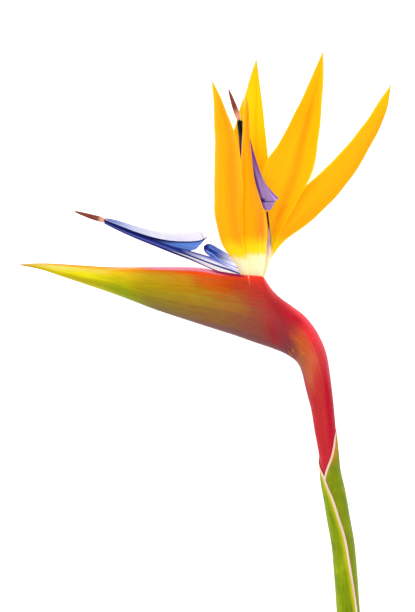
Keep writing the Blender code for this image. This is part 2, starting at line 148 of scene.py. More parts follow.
# %% The camera
def make_camera():
    data = bpy.data.cameras.new("camera")
    data.lens = LENS
    data.sensor_width = SENSOR
    camera = bpy.data.objects.new("camera", data)
    aim = (CAMERA_AIM + MOUTH) * MM
    camera.location = aim + Vector((0, 0, VIEW_HEIGHT * MM * LENS / SENSOR))
    scene.collection.objects.link(camera)
    scene.camera = camera
    print("camera height, mm:", round(camera.location.z / MM))


make_camera()

# %% [markdown]
# ## Formulas on sockets
# A colour that changes over a petal is a formula of where the point is on the petal. Blender writes
# a formula as a chain of Math nodes, which is long to build by hand. This small class wraps a
# socket, so that `1 - mask * 0.5` adds the nodes itself. It serves shaders and Geometry Nodes alike.


# %% The wrapped socket
class Term:
    def __init__(self, tree, socket):
        self.tree = tree
        self.socket = socket

    def math(self, operation, *others):
        inputs = dict(enumerate((self, *others)))
        return self.tree.add("ShaderNodeMath", {"operation": operation}, inputs)

    def __add__(self, other):
        return self.math("ADD", other)

    def __sub__(self, other):
        return self.math("SUBTRACT", other)

    def __rsub__(self, other):
        return self.math("MULTIPLY_ADD", -1.0, other)

    def __mul__(self, other):
        return self.math("MULTIPLY", other)

    def __truediv__(self, other):
        return self.math("DIVIDE", other)

    def __pow__(self, other):
        return self.math("POWER", other)

    def __abs__(self):
        return self.math("ABSOLUTE")

    __radd__ = __add__
    __rmul__ = __mul__

    def step(self, low, high):
        """0 below low and 1 above high, with a smooth rise between. low may be the greater."""
        if low > high:
            return 1 - self.step(high, low)
        settings = {"interpolation_type": "SMOOTHSTEP"}
        return self.tree.add("ShaderNodeMapRange", settings, {0: self, 1: low, 2: high})


# %% The node tree
def set_stops(ramp, stops):
    ramp.interpolation = "EASE"
    while len(ramp.elements) < len(stops):
        ramp.elements.new(1.0)
    for element, (position, colour) in zip(ramp.elements, stops):
        element.position = position
        element.color = colour


class Tree:
    """A node tree, with one way to add any node: its type, its settings, and its sockets' values."""

    def __init__(self, tree):
        self.tree = tree

    def add(self, kind, settings=None, inputs=None, output=0):
        node = self.tree.nodes.new(kind)
        for key, value in (settings or {}).items():
            if key == "stops":
                set_stops(node.color_ramp, value)
            else:
                setattr(node, key, value)
        for key, value in (inputs or {}).items():
            self.feed(node.inputs[key], value)
        return Term(self, node.outputs[output])

    def feed(self, socket, value):
        if isinstance(value, Term):
            self.tree.links.new(value.socket, socket)
        else:
            socket.default_value = value

    def mark(self, name):
        """A number that the mesh carries at each of its points."""
        kind = self.tree.bl_idname
        if kind == "GeometryNodeTree":
            return self.add("GeometryNodeInputNamedAttribute", {"data_type": "FLOAT"}, {"Name": name})
        return self.add("ShaderNodeAttribute", {"attribute_name": name}, output="Fac")

    def marks(self):
        return [self.mark(name) for name in ("across", "along", "edge")]

    def mix(self, share, one, two):
        return self.add(
            "ShaderNodeMix", {"data_type": "RGBA"}, {0: share, 6: one, 7: two}, output=2
        )

    def ramp(self, share, stops):
        return self.add("ShaderNodeValToRGB", {"stops": stops}, {0: share})

    def grain(self, wide, long, detail=3.0, seed=0.0):
        """Streaks that run along a sheet: noise squeezed across it and stretched along it."""
        place = self.add(
            "ShaderNodeCombineXYZ",
            inputs={0: self.mark("across") * wide, 1: self.mark("along") * long, 2: seed},
        )
        return self.add(
            "ShaderNodeTexNoise", inputs={"Vector": place, "Scale": 1.0, "Detail": detail}
        )


# %% Colours and finishes
def paint(red, green, blue):
    """A colour as painters mix it on a screen, 0 to 255, turned into the light it gives back."""
    light = []
    for value in (red / 255, green / 255, blue / 255):
        light.append(value / 12.92 if value <= 0.04045 else ((value + 0.055) / 1.055) ** 2.4)
    return (*light, 1.0)


def new_finish(name, roughness, gloss=0.12, glow=0.0):
    """A material with a Principled shader. The values that are even all over are set on it here."""
    made = bpy.data.materials.new(name)
    made.use_nodes = True
    tree = Tree(made.node_tree)
    shader = made.node_tree.nodes["Principled BSDF"]
    shader.inputs["Roughness"].default_value = roughness
    shader.inputs["Specular IOR Level"].default_value = gloss
    shader.inputs["Subsurface Weight"].default_value = glow
    shader.inputs["Subsurface Radius"].default_value = (1.0, 0.5, 0.25)
    shader.inputs["Subsurface Scale"].default_value = 1.5 * MM
    return made, tree, shader.inputs


def dress(tree, inputs, colour, relief, depth, roughness=None):
    """Feeds what changes over the surface: its colour, its fine relief and perhaps its roughness."""
    bump = {"Height": relief, "Distance": depth * MM, "Strength": 1.0}
    tree.feed(inputs["Base Color"], colour)
    tree.feed(inputs["Normal"], tree.add("ShaderNodeBump", inputs=bump))
    if roughness:
        tree.feed(inputs["Roughness"], roughness)


def add_painted_glow(tree, inputs, colour, strength):
    """A painted glow: a little emission in the surface's colour that lightens its shaded parts,
    as light coming through a thin petal would.
    """
    tree.feed(inputs["Emission Color"], colour)
    inputs["Emission Strength"].default_value = strength


# %% [markdown]
# ## Sheets between guide curves
# A petal, a bract and a sheath are all sheets. Each one is drawn by a few points on its left edge,
# its fold and its right edge, with a smooth curve through them. The sheet also carries three numbers
# at each point for the veins and the colours: `across` from edge to edge, `along` from root to
# tip, and `edge`, the distance to the nearest edge in millimetres.


# %% Curves and sheets
def through(points, steps):
    """A smooth curve through the points, with that many samples to each span."""
    known = np.array(points, float)
    known = np.vstack([2 * known[0] - known[1], known, 2 * known[-1] - known[-2]])
    t = np.linspace(0, 1, steps, endpoint=False)[:, None]
    spans = []
    for before, start, end, after in zip(known, known[1:], known[2:], known[3:]):
        spans.append(
            start
            + 0.5 * t * (end - before)
            + t**2 * (before - 2.5 * start + 2 * end - 0.5 * after)
            + 0.5 * t**3 * (3 * start - 3 * end + after - before)
        )
    return np.vstack([*spans, known[-2:-1]])


def smooth(low, high, value):
    t = np.clip((np.asarray(value, float) - low) / (high - low), 0, 1)
    return t * t * (3 - 2 * t)


def stretch(left, middle, right, fold, columns):
    """The sheet between three curves, as rows of points. fold is 0 for a round one, 1 for a crease."""
    left, middle, right = (np.asarray(curve)[:, None] for curve in (left, middle, right))
    u = np.linspace(-1, 1, columns + 1)[None, :, None]
    arc = left * (u * (u - 1) / 2) + middle * (1 - u * u) + right * (u * (u + 1) / 2)
    crease = middle + (np.where(u < 0, left, right) - middle) * abs(u)
    return arc + (crease - arc) * fold


# %% From rows of points to a mesh
def row_lengths(grid):
    """How far each point is along its row, in millimetres."""
    steps = np.linalg.norm(np.diff(grid, axis=1), axis=2)
    return np.hstack([np.zeros((len(grid), 1)), np.cumsum(steps, axis=1)])


FAR_FROM_EDGE = 50.0


def patch(grid, across=(0.0, 1.0), along=(0.0, 1.0), free=(True, True)):
    """A grid of points with its marks. free says which of its two sides are edges of the sheet."""
    rows, columns = grid.shape[:2]
    run = row_lengths(grid)
    far = np.full(run.shape, FAR_FROM_EDGE)
    edge = np.minimum(run if free[0] else far, run[:, -1:] - run if free[1] else far)
    share, way = np.linspace(*across, columns), np.linspace(*along, rows)
    return {
        "points": grid.reshape(-1, 3),
        "shape": (rows, columns),
        "across": np.broadcast_to(share, (rows, columns)).ravel(),
        "along": np.broadcast_to(way[:, None], (rows, columns)).ravel(),
        "edge": edge.ravel(),
    }


def sheet_object(name, patches, merge=0.004):
    """A mesh of the patches, sewn together where they meet, with the marks on its points."""
    points, faces, first = [], [], 0
    for part in patches:
        rows, columns = part["shape"]
        for i in range(rows - 1):
            for j in range(columns - 1):
                a = first + i * columns + j
                faces.append((a, a + 1, a + columns + 1, a + columns))
        points.append(part["points"])
        first += rows * columns
    places = (np.vstack(points) + np.array(MOUTH)) * MM
    data = bpy.data.meshes.new(name)
    data.from_pydata(places.tolist(), [], faces)
    for mark in ("across", "along", "edge"):
        values = np.concatenate([part[mark] for part in patches]).astype(np.float32)
        data.attributes.new(mark, "FLOAT", "POINT").data.foreach_set("value", values)
    work = bmesh.new()
    work.from_mesh(data)
    bmesh.ops.remove_doubles(work, verts=work.verts, dist=merge * MM)
    bmesh.ops.dissolve_degenerate(work, edges=work.edges, dist=merge * MM / 4)
    bmesh.ops.recalc_face_normals(work, faces=work.faces)
    work.to_mesh(data)
    work.free()
    made = bpy.data.objects.new(name, data)
    scene.collection.objects.link(made)
    return made


# %% [markdown]
# ## Veins by Geometry Nodes
# Bird of paradise is a cousin of the banana, and all its leaves have fine veins that run side by
# side from root to tip. Cut by hand they would be thousands of moves, but they follow a rule, so a
# node tree raises them: each point moves out along the surface's normal by a wave of `across`. The
# wave fades at the edge of the sheet and at its tip.


# %% The two ends of any tree
def new_tree(name, *sockets):
    """A Geometry Nodes tree with its named inputs, each a name, a kind and a value to start from."""
    group = bpy.data.node_groups.new(name, "GeometryNodeTree")
    face = group.interface
    face.new_socket("Geometry", in_out="INPUT", socket_type="NodeSocketGeometry")
    for label, kind, start in sockets:
        face.new_socket(label, in_out="INPUT", socket_type="NodeSocket" + kind).default_value = start
    face.new_socket("Material", in_out="INPUT", socket_type="NodeSocketMaterial")
    face.new_socket("Geometry", in_out="OUTPUT", socket_type="NodeSocketGeometry")
    tree = Tree(group)
    entry = group.nodes.new("NodeGroupInput")
    return tree, {s.name: Term(tree, s) for s in entry.outputs if s.name}


def end_tree(tree, geometry, material):
    """Makes every instance real, paints the result and sends it out. Gives the finished group."""
    whole = tree.add("GeometryNodeRealizeInstances", inputs={"Geometry": geometry})
    painted = tree.add("GeometryNodeSetMaterial", inputs={"Geometry": whole, "Material": material})
    group = tree.tree
    leave = group.nodes.new("NodeGroupOutput")
    group.links.new(painted.socket, leave.inputs[0])
    return group


# %% The vein tree
def vein_tree():
    tree, given = new_tree(
        "veins",
        ("Count", "Float", 12.0),
        ("Height", "Float", 0.0001),
        ("Crest", "Float", 2.0),
        ("Margin", "Float", 1.0),
    )
    wave = (tree.mark("across") * given["Count"] * math.tau).math("COSINE") * 0.5 + 0.5
    at_edge = (tree.mark("edge") / given["Margin"]).math("MINIMUM", 1.0)
    at_tip = tree.mark("along").step(1.0, 0.93)
    height = wave ** given["Crest"] * given["Height"] * at_edge * at_tip
    normal = tree.add("GeometryNodeInputNormal")
    shift = tree.add("ShaderNodeVectorMath", {"operation": "SCALE"}, {0: normal, "Scale": height})
    moved = tree.add("GeometryNodeSetPosition", inputs={"Geometry": given["Geometry"], "Offset": shift})
    return end_tree(tree, moved, given["Material"])


VEINS = vein_tree()


def with_tree(made, group, **values):
    """Adds the tree to the object, with its inputs set by their identifiers."""
    modifier = made.modifiers.new(group.name, "NODES")
    modifier.node_group = group
    for item in group.interface.items_tree:
        if item.in_out == "INPUT" and item.name in values:
            modifier[item.identifier] = values[item.name]
    return modifier


print("vein tree nodes:", len(VEINS.nodes))


# %% [markdown]
# ## From sheet to finished piece
# The wall comes from a Solidify modifier. A petal is about a millimetre thick over its midrib and a
# quarter of that at its edges, so the wall follows a vertex group worked out from `edge`. Then the
# modifiers are turned into a plain mesh, and the piece is given to the frame.


# %% Thickness and handing over
def read_marks(data, *names):
    """The numbers that a mesh carries at its points, an array for each name."""
    marks = [np.zeros(len(data.vertices), np.float32) for _ in names]
    for name, values in zip(names, marks):
        data.attributes[name].data.foreach_get("value", values)
    return marks


def wall(made, thickness, offset=0.0, thin=0.3, reach=3.0, tip=0.9):
    """Gives the sheet its wall, thinned to a share of it at the edges and towards the tip."""
    edge, along = read_marks(made.data, "edge", "along")
    share = thin + (1 - thin) * smooth(0, reach, edge) * (1 - 0.7 * smooth(tip, 1, along))
    group = made.vertex_groups.new(name="wall")
    for i, value in enumerate(share):
        group.add([i], float(value), "REPLACE")
    solidify = made.modifiers.new("wall", "SOLIDIFY")
    solidify.thickness = thickness * MM
    solidify.offset = offset
    solidify.vertex_group = "wall"
    solidify.thickness_vertex_group = 0.02


# %% The finished mesh
def plain(made):
    """The object as its modifiers leave it, as a plain mesh with no modifiers."""
    graph = bpy.context.evaluated_depsgraph_get()
    data = bpy.data.meshes.new_from_object(made.evaluated_get(graph))
    while data.materials and data.materials[0] is None:
        data.materials.pop(index=0)
    name = made.name
    bpy.data.objects.remove(made)
    result = bpy.data.objects.new(name, data)
    scene.collection.objects.link(result)
    return result


def hand_over(made, slot, *nodes):
    made.data.shade_smooth()
    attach(made, "root")
    if nodes:
        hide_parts(*nodes)
    tris = sum(len(p.vertices) - 2 for p in made.data.polygons)
    print(f"{made.name}: {tris} triangles, finish {made.data.materials[0].name}")
    return made


def veined(made, finish, count, height, crest, margin):
    with_tree(
        made, VEINS, Count=float(count), Height=height * MM, Crest=crest, Margin=margin, Material=finish
    )


# %% [markdown]
# ## The sepals' finish
# A sepal is the brightest orange a flower has, and not one flat orange: a deeper, redder painted shade
# runs along the fold down its middle, the thin edges are painted yellower as light that comes through
# them, and the root fades through yellow to cream. Fine streaks follow the veins. Each sepal has its
# own copy of one recipe, with its own depth of colour and of painted shade, and a copy is painted
# lighter where shade falls on its sepal, as on the back one.

# %% Sepal colours
SUNNY = paint(255, 204, 2)
LEMON = paint(255, 216, 14)
CREAM = paint(255, 246, 196)
IVORY = paint(255, 246, 226)
BLUSH = paint(250, 214, 170)
LEMON_ABOVE = (11.0, 2.5)
CREAM_FADE = 3.5
SEPAL_GLOW = 0.15


def height_up(tree):
    """How far up the flower a point is from the mouth of the spathe, in millimetres."""
    place = tree.add("ShaderNodeTexCoord", output="Object")
    return tree.add("ShaderNodeSeparateXYZ", inputs={0: place}, output=1) / MM - MOUTH.y


def sepal_finish(name, shade, light, fold, cream_at, blush=0.0, cream=CREAM, seed=0.0):
    """shade is the colour painted at the fold, as the crease's shade, and light the colour away from it;
    fold is its place and width across the sepal, and cream_at is how high up the flower its root
    turns from cream to yellow."""
    made, tree, inputs = new_finish(name, 0.42, gloss=0.08, glow=0.15)
    across, along, edge = tree.marks()
    streaks = tree.grain(30, 1.6, seed=seed)
    fine = tree.grain(90, 3, seed=seed)
    cloud = tree.grain(3, 3, seed=seed + 7)
    # Painted shade along the fold, mottled by a cloud; the streaks of the veins on top are the sepal's
    # own.
    painted_fold_shade = abs(across - fold[0]).step(fold[1], 0.0)
    shaded = painted_fold_shade * (cloud.step(0.3, 0.6) * 0.6 + 0.4) + (streaks - 0.5) * 1.1 + (fine - 0.5) * 0.5
    colour = tree.mix(shaded.math("MAXIMUM", 0.0).math("MINIMUM", 1.0), light, shade)
    # Painted light: the thin edges are painted yellower, as light coming through them.
    colour = tree.mix(edge.step(1.6, 0.2) * 0.6, colour, SUNNY)
    colour = tree.mix(along.step(0.8, 1.0) * 0.65, colour, SUNNY)
    colour = tree.mix(edge.step(0.7, 0.2) * along.step(0.82, 0.97) * 0.7, colour, BLUSH)
    if blush:
        colour = tree.mix(across.step(1 - blush, 1.0) * edge.step(2.0, 0.2) * 0.8, colour, BLUSH)
    height = height_up(tree) + (streaks - 0.5) * 8 - cream_at
    colour = tree.mix(height.step(*LEMON_ABOVE), colour, LEMON)
    colour = tree.mix(height.step(CREAM_FADE / 2, -CREAM_FADE / 2), colour, cream)
    dress(tree, inputs, colour, fine, 0.08, roughness=streaks * 0.2 + 0.36)
    # Painted glow in the sepal's own colour, which lightens its shaded parts.
    add_painted_glow(tree, inputs, colour, SEPAL_GLOW)
    return made


# %% [markdown]
# ## The six sepals
# Each floret has three. They start side by side on a small ring, the top of the floret's tube, and
# spread apart as they rise. The points follow those of the solid model, so the fine sepal fills
# nearly the same space, and a slow wobble takes away the machine-made look. Blender's noise starts
# from a new seed in each session, so the seed is set here and every run gives the same sepals.

# %% One sepal
SEPAL_WALL = 0.9
SEPAL_STEPS = 18
SEPAL_COLUMNS = 84
TIP_FULLNESS = 0.2
WOBBLE = 0.4
WOBBLE_REACH = 11.0
noise.seed_set(8)


def on_ring(centre, azimuth):
    """A point of a floret's base ring. Azimuth 0 faces up from the table, 90 away from the beak."""
    a = math.radians(azimuth)
    return tuple(centre + Vector((FLORET_RADIUS * math.sin(a), 0, FLORET_RADIUS * math.cos(a))))


def wobble(grid, seed):
    """A slow shift for each point, so that no edge is a perfect curve."""
    start = Vector((seed, seed, seed))
    moved = [noise.noise_vector(Vector(p) / WOBBLE_REACH + start) for p in grid.reshape(-1, 3)]
    return (np.array(moved) * WOBBLE).reshape(grid.shape)


def sepal(name, centre, azimuths, left, middle, right, finish, fold=0.3, seed=1.0, veins=15):
    guides = [
        through([on_ring(centre, azimuth), *points], SEPAL_STEPS)
        for azimuth, points in zip(azimuths, (left, middle, right))
    ]
    grid = stretch(*guides, fold, SEPAL_COLUMNS)
    way = np.linspace(0, 1, len(grid))[:, None, None]
    spine = guides[1][:, None]
    grid = spine + (grid - spine) * (1 + TIP_FULLNESS * smooth(0.8, 0.97, way))
    rise = smooth(5, 30, grid[:, :, 1:2]) * (1 - smooth(0.85, 1.0, way))
    grid += wobble(grid, seed) * rise
    made = sheet_object(name + "_blade", [patch(grid)])
    veined(made, finish, count=veins, height=0.13, crest=1.5, margin=1.5)
    wall(made, SEPAL_WALL, thin=0.25, reach=3.5)
    return hand_over(plain(made), "sepal", name)


# %% Floret A's sepals
sepal(
    "floret_a_sepal_outer",
    BASE_A,
    (-62, -28, 4),
    [(-8.0, 5, 8.8), (-15.4, 16, 12.8), (-18.8, 31, 19), (-18.8, 49.5, 24), (-18.8, 66.5, 28),
     (-19.3, 84, 31), (-20.2, 94.2, 32)],
    [(-5.4, 5, 10.8), (-10, 16, 17.5), (-12.8, 31, 24), (-13, 49.5, 29), (-13.6, 66.5, 32),
     (-17, 83, 33), (-20.2, 94.2, 32)],
    [(-2, 5, 10.1), (-4.3, 16, 13.4), (-5, 31, 17), (-5.3, 49.5, 21.5), (-8.0, 65.5, 26),
     (-14.3, 81.5, 31), (-20.2, 94.2, 32)],
    sepal_finish(
        "sepal_outer_orange", paint(255, 152, 0), paint(255, 172, 0), (0.66, 0.3), 8.0, seed=1
    ),
    seed=1.0,
)
sepal(
    "floret_a_sepal_middle",
    BASE_A,
    (18, 62, 105),
    [(-3.0, 4.5, 7.7), (-5.6, 15, 10.0), (-6.4, 30, 13.0), (-6.2, 49.5, 16.5), (-5, 67, 18),
     (-4.5, 81, 18.5), (-3.5, 90, 19)],
    [(2.6, 4.5, 8.8), (1.4, 15, 13), (1, 30, 16.5), (-1.2, 49.5, 18), (-2.8, 67, 19.5),
     (-3.1, 81, 19.9), (-3.5, 90, 19)],
    [(6, 4.5, 5.6), (7.0, 15, 7), (6.5, 29, 8.4), (0.4, 47, 11.5), (-1.1, 61.5, 14.5),
     (-2.2, 78, 17.5), (-3.5, 90, 19)],
    sepal_finish(
        "sepal_middle_orange", paint(255, 128, 0), paint(255, 172, 0), (0.66, 0.36), 10.0, seed=4
    ),
    seed=2.0,
    veins=11,
)
sepal(
    "floret_a_sepal_inner",
    BASE_A,
    (232, 180, 132),
    [(-5.5, 5, 0.2), (-10.5, 17.5, 0), (-15, 35, 0), (-15, 52.5, 1), (-11, 66.5, 2),
     (-6.8, 80, 3), (-4, 89, 3)],
    [(-2.8, 5, -1.7), (-4.5, 17.5, -4), (-6.5, 35, -5), (-7, 52.5, -4.5), (-6, 66.5, -2),
     (-4.5, 80, 1.5), (-4, 89, 3)],
    [(0, 5, -1.2), (1, 17.5, -3), (1, 35, -3.5), (0, 52.5, -2.5), (-1, 66.5, -0.5),
     (-2.5, 80, 2), (-4, 89, 3)],
    sepal_finish(
        "sepal_inner_orange", paint(255, 170, 0), paint(255, 206, 4), (0.5, 0.25), 11.0, seed=9
    ),
    seed=3.0,
)

# %% Floret B's sepals
sepal(
    "floret_b_sepal_back",
    BASE_B,
    (-60, -105, -148),
    [(0.3, 5, -7.6), (-1, 20, -9), (-3, 37.5, -8.5), (-4.5, 55, -7.5), (-5, 72.5, -6.5),
     (-3, 90, -5.5), (2.3, 108.9, -4)],
    [(2.8, 5, -9), (3.5, 20, -11.3), (3, 37.5, -11.5), (2.5, 55, -11), (2.3, 72.5, -10),
     (2.3, 91, -8), (2.3, 108.9, -4)],
    [(4.6, 5, -8.6), (8, 20, -9.2), (9, 37.5, -8.5), (8.5, 55, -7.5), (6.8, 72.5, -6.5),
     (4.4, 91, -5.5), (2.3, 108.9, -4)],
    sepal_finish(
        "sepal_back_orange", paint(255, 198, 0), paint(255, 212, 6), (0.5, 0.16), 11.0, seed=13
    ),
    seed=4.0,
    veins=11,
)
sepal(
    "floret_b_sepal_wide",
    BASE_B,
    (58, 92, 124),
    [(6.1, 6, -4.9), (4.4, 20, -5), (3.2, 38, -3.5), (6, 54.5, -1), (14.3, 67.3, 1),
     (26, 90, 6), (35.2, 111.2, 10)],
    [(7.4, 6.5, -6.0), (10.5, 21.5, -8.4), (15, 37.5, -8.3), (20, 53.5, -7), (24.5, 71.5, -3.5),
     (30.5, 92, 3), (35.2, 111.2, 10)],
    [(7.8, 6.5, -6.4), (14.3, 21.5, -7), (22.8, 37.5, -6), (29.5, 50, -4), (33.4, 68, -1),
     (34.8, 90, 4), (35.2, 111.2, 10)],
    sepal_finish(
        "sepal_wide_orange",
        paint(255, 162, 0),
        paint(255, 188, 0),
        (0.6, 0.2),
        11.0,
        cream=IVORY,
        seed=17,
    ),
    seed=5.0,
    fold=0.15,
    veins=17,
)
sepal(
    "floret_b_sepal_side",
    BASE_B,
    (140, 168, 198),
    [(6.5, 5.8, -7.9), (12.4, 20.5, -10.0), (21.3, 38.5, -10.4), (36.0, 52.6, -8.7),
     (50.3, 68.2, -6.5), (62.4, 84.2, -5), (70.2, 96.2, -5)],
    [(7.7, 4.7, -9.0), (15.6, 16.9, -11.2), (30.6, 28.5, -12.6), (46.4, 44.7, -12.9),
     (58.9, 64.2, -11.7), (66.9, 81.2, -8.2), (70.2, 96.2, -5)],
    [(6.0, 5.6, -9.6), (13.6, 19.5, -12.2), (26.5, 34, -13.6), (40, 50, -14.2), (53.4, 67.2, -13),
     (63.6, 82.7, -9.6), (70.2, 96.2, -5)],
    sepal_finish(
        "sepal_side_orange",
        paint(255, 166, 0),
        paint(255, 180, 0),
        (0.4, 0.25),
        11.0,
        blush=0.3,
        cream=IVORY,
        seed=21,
    ),
    seed=6.0,
    veins=15,
)

# %% [markdown]
# ## The spathe
# The spathe is one thick bract: a boat with a long beak, open along its top, whose heel closes and
# runs on as a sheath round the stalk. The best way to make a boat is from its sections. Each
# station gives the top of the section, the keel, half the width, half the slit and the height of
# its middle. The section is walked from the far edge over the keel to the near edge.

# %% The spathe's stations
SPATHE = (
    ((-116.6, 5.5), (-116.5, 5.1), 0.3, 0.1, -5.0),
    ((-106.0, 6.0), (-105.5, 2.8), 1.6, 0.8, -4.6),
    ((-96.0, 5.6), (-95.0, -0.7), 2.6, 1.1, -4.2),
    ((-84.0, 4.8), (-82.0, -5.0), 4.0, 1.4, -3.5),
    ((-70.0, 4.0), (-66.0, -10.5), 5.8, 1.6, -2.6),
    ((-55.0, 4.0), (-49.0, -17.0), 7.8, 1.7, -1.7),
    ((-40.0, 4.0), (-33.0, -22.3), 9.6, 1.9, -0.8),
    ((-26.0, 3.5), (-19.0, -26.8), 11.2, 3.6, -0.2),
    ((-13.5, 1.3), (-8.0, -30.3), 12.1, 8.2, 0.0),
    ((-4.5, 0.0), (1.0, -33.5), 12.5, 10.4, 0.0),
    ((2.5, -0.5), (8.0, -35.8), 12.3, 9.4, 0.0),
    ((6.4, -1.7), (12.0, -37.3), 11.6, 6.8, 0.0),
    ((9.2, -7.8), (15.5, -38.5), 10.4, 3.2, 0.0),
    ((15.5, -12.8), (18.5, -40.3), 9.2, 0.0, 0.0),
    ((24.0, -18.3), (21.3, -42.2), 8.2, 0.0, 0.0),
    ((30.5, -25.5), (23.8, -45.5), 7.4, 0.0, 0.0),
    ((34.8, -33.0), (25.4, -50.1), 6.8, 0.0, 0.0),
    ((37.3, -40.0), (26.5, -55.0), 6.4, 0.0, 0.0),
    ((39.0, -50.0), (28.0, -61.0), 6.1, 0.0, -0.1),
    ((40.5, -62.5), (29.7, -67.5), 5.8, 0.0, -0.3),
    ((41.7, -75.0), (31.4, -78.0), 5.3, 0.0, -0.8),
    ((42.7, -87.5), (33.5, -89.5), 4.9, 0.0, -1.4),
    ((43.8, -100.0), (34.9, -102.0), 4.6, 0.0, -2.2),
)
SLIT_END = 13
SPATHE_STEPS = 8
SPATHE_COLUMNS = 120
SPATHE_FULLNESS = 0.22
SPATHE_WALL = 1.2
NEAR_RIM_DROOP = 1.6
HEEL_SOFTENING = 60


def spathe_grid():
    tops = through([(*s[0], s[4]) for s in SPATHE], SPATHE_STEPS)
    keels = through([(*s[1], s[4]) for s in SPATHE], SPATHE_STEPS)
    sizes = through([(s[2], s[3], 0) for s in SPATHE], SPATHE_STEPS)
    slits = np.maximum(sizes[:, 1], 0)
    slits[SLIT_END * SPATHE_STEPS :] = 0
    turn = np.linspace(-math.pi, math.pi, SPATHE_COLUMNS + 1)[None]
    height = (1 - np.cos(turn)) / 2
    station = np.linspace(0, len(SPATHE) - 1, len(tops))[:, None]
    fullness = 1 - SPATHE_FULLNESS * np.cos(turn) * (1 - smooth(8.0, 15.0, station))
    side = sizes[:, :1] * np.sin(turn) * fullness
    side += slits[:, None] * np.sign(turn) * smooth(0.55, 1.0, abs(turn) / math.pi)
    grid = keels[:, None] + (tops - keels)[:, None] * height[:, :, None]
    grid[:, :, 2] += side
    beak = smooth(-113, -100, tops[:, 0]) * (1 - smooth(-80, -55, tops[:, 0]))
    grid[:, :, 1] -= NEAR_RIM_DROOP * beak[:, None] * smooth(0.72, 1.0, turn / math.pi)
    heel = (smooth(10.6, 11.4, station) * (1 - smooth(13.0, 14.5, station)))[1:-1, :, None]
    for _ in range(HEEL_SOFTENING):
        grid[1:-1] += heel * ((grid[:-2] + grid[2:]) / 2 - grid[1:-1]) / 2
    return grid


# %% [markdown]
# ## The spathe's finish
# Its colour runs through most of a palette: a gold and green beak, an olive flank that turns brown
# and then red towards the florets, an orange rim with a pink border, darker maroon towards the keel,
# and a crimson neck. Five colour ramps follow the bract from its beak to its base, from the keel up
# to the rim. They are blended by the height up the section, and pulled about by streaks along the
# grain. Part of the colour is painted light: a painted highlight high along the heel's outer margin,
# painted light through the thin pink rim, and a painted shadow on the rim under the lying arrow.


# %% Spathe colours
def at_stations(*stops):
    """Ramp stops given by station number, as positions along the spathe."""
    return [(station / (len(SPATHE) - 1), paint(*colour)) for station, colour in stops]


# The pinker stops high on the heel, at stations 14 to 16 of the bands at 0.68 and 0.86, are a painted
# highlight along its outer margin.
SPATHE_BANDS = (
    (
        0.08,
        at_stations(
            (0, (235, 170, 60)), (1.5, (222, 198, 30)), (3.2, (196, 186, 30)), (4.2, (150, 158, 30)),
            (5.2, (122, 98, 64)), (7, (122, 76, 74)), (10, (122, 62, 64)), (13, (120, 54, 60)),
            (15, (160, 92, 84)), (17, (176, 66, 72)), (20, (204, 44, 58)), (22, (200, 60, 80)),
        ),
    ),
    (
        0.32,
        at_stations(
            (0, (240, 180, 50)), (1.5, (226, 204, 10)), (3, (186, 176, 6)), (4.2, (146, 160, 6)),
            (5.2, (146, 124, 44)), (7, (148, 104, 52)), (9, (150, 80, 64)), (11, (162, 50, 56)),
            (13.2, (138, 60, 64)), (15, (178, 98, 62)), (16.5, (206, 106, 74)), (18.5, (200, 58, 58)),
            (22, (204, 54, 60)),
        ),
    ),
    (
        0.5,
        at_stations(
            (0, (250, 206, 90)), (1.5, (253, 232, 90)), (3, (250, 236, 20)), (4.1, (200, 190, 2)),
            (5, (174, 150, 30)), (6.5, (176, 140, 40)), (8, (174, 116, 50)), (9.5, (168, 82, 60)),
            (11, (178, 62, 62)), (13, (160, 54, 60)), (14.6, (212, 96, 56)), (16, (220, 106, 74)),
            (18, (206, 62, 62)), (22, (206, 56, 64)),
        ),
    ),
    (
        0.68,
        at_stations(
            (0, (250, 206, 110)), (2, (255, 236, 120)), (3.2, (253, 224, 90)), (4.2, (240, 196, 16)),
            (5.2, (200, 160, 8)), (6.2, (202, 140, 10)), (6.9, (208, 98, 16)), (7.5, (212, 90, 26)),
            (8.4, (194, 74, 44)), (10, (196, 62, 54)), (12, (176, 44, 50)), (13.5, (198, 42, 54)),
            (15, (246, 70, 76)), (16.5, (216, 66, 70)), (18.5, (192, 28, 48)), (20.5, (200, 36, 56)),
            (22, (206, 60, 66)),
        ),
    ),
    (
        0.86,
        at_stations(
            (0, (249, 200, 90)), (2, (253, 196, 60)), (3.5, (252, 190, 70)), (4.6, (247, 140, 20)),
            (5.6, (244, 96, 16)), (6.9, (255, 80, 22)), (8.0, (222, 72, 36)), (9.4, (246, 70, 60)),
            (11, (238, 60, 56)), (12.4, (206, 46, 56)), (14, (252, 78, 90)), (16, (236, 84, 100)),
            (17.5, (212, 74, 88)), (19, (182, 44, 56)), (20.5, (192, 36, 58)), (22, (206, 60, 66)),
        ),
    ),
)
RIM_PINK = paint(248, 160, 186)
RIM_PEACH = paint(253, 196, 124)
RIM_ORANGE = paint(240, 150, 66)
ARROW_SHADOW_MAROON = paint(150, 26, 74)
HEEL_GOLD = paint(216, 138, 30)
NOTCH_STATION = 9.3
LINING_GLOW = 0.3


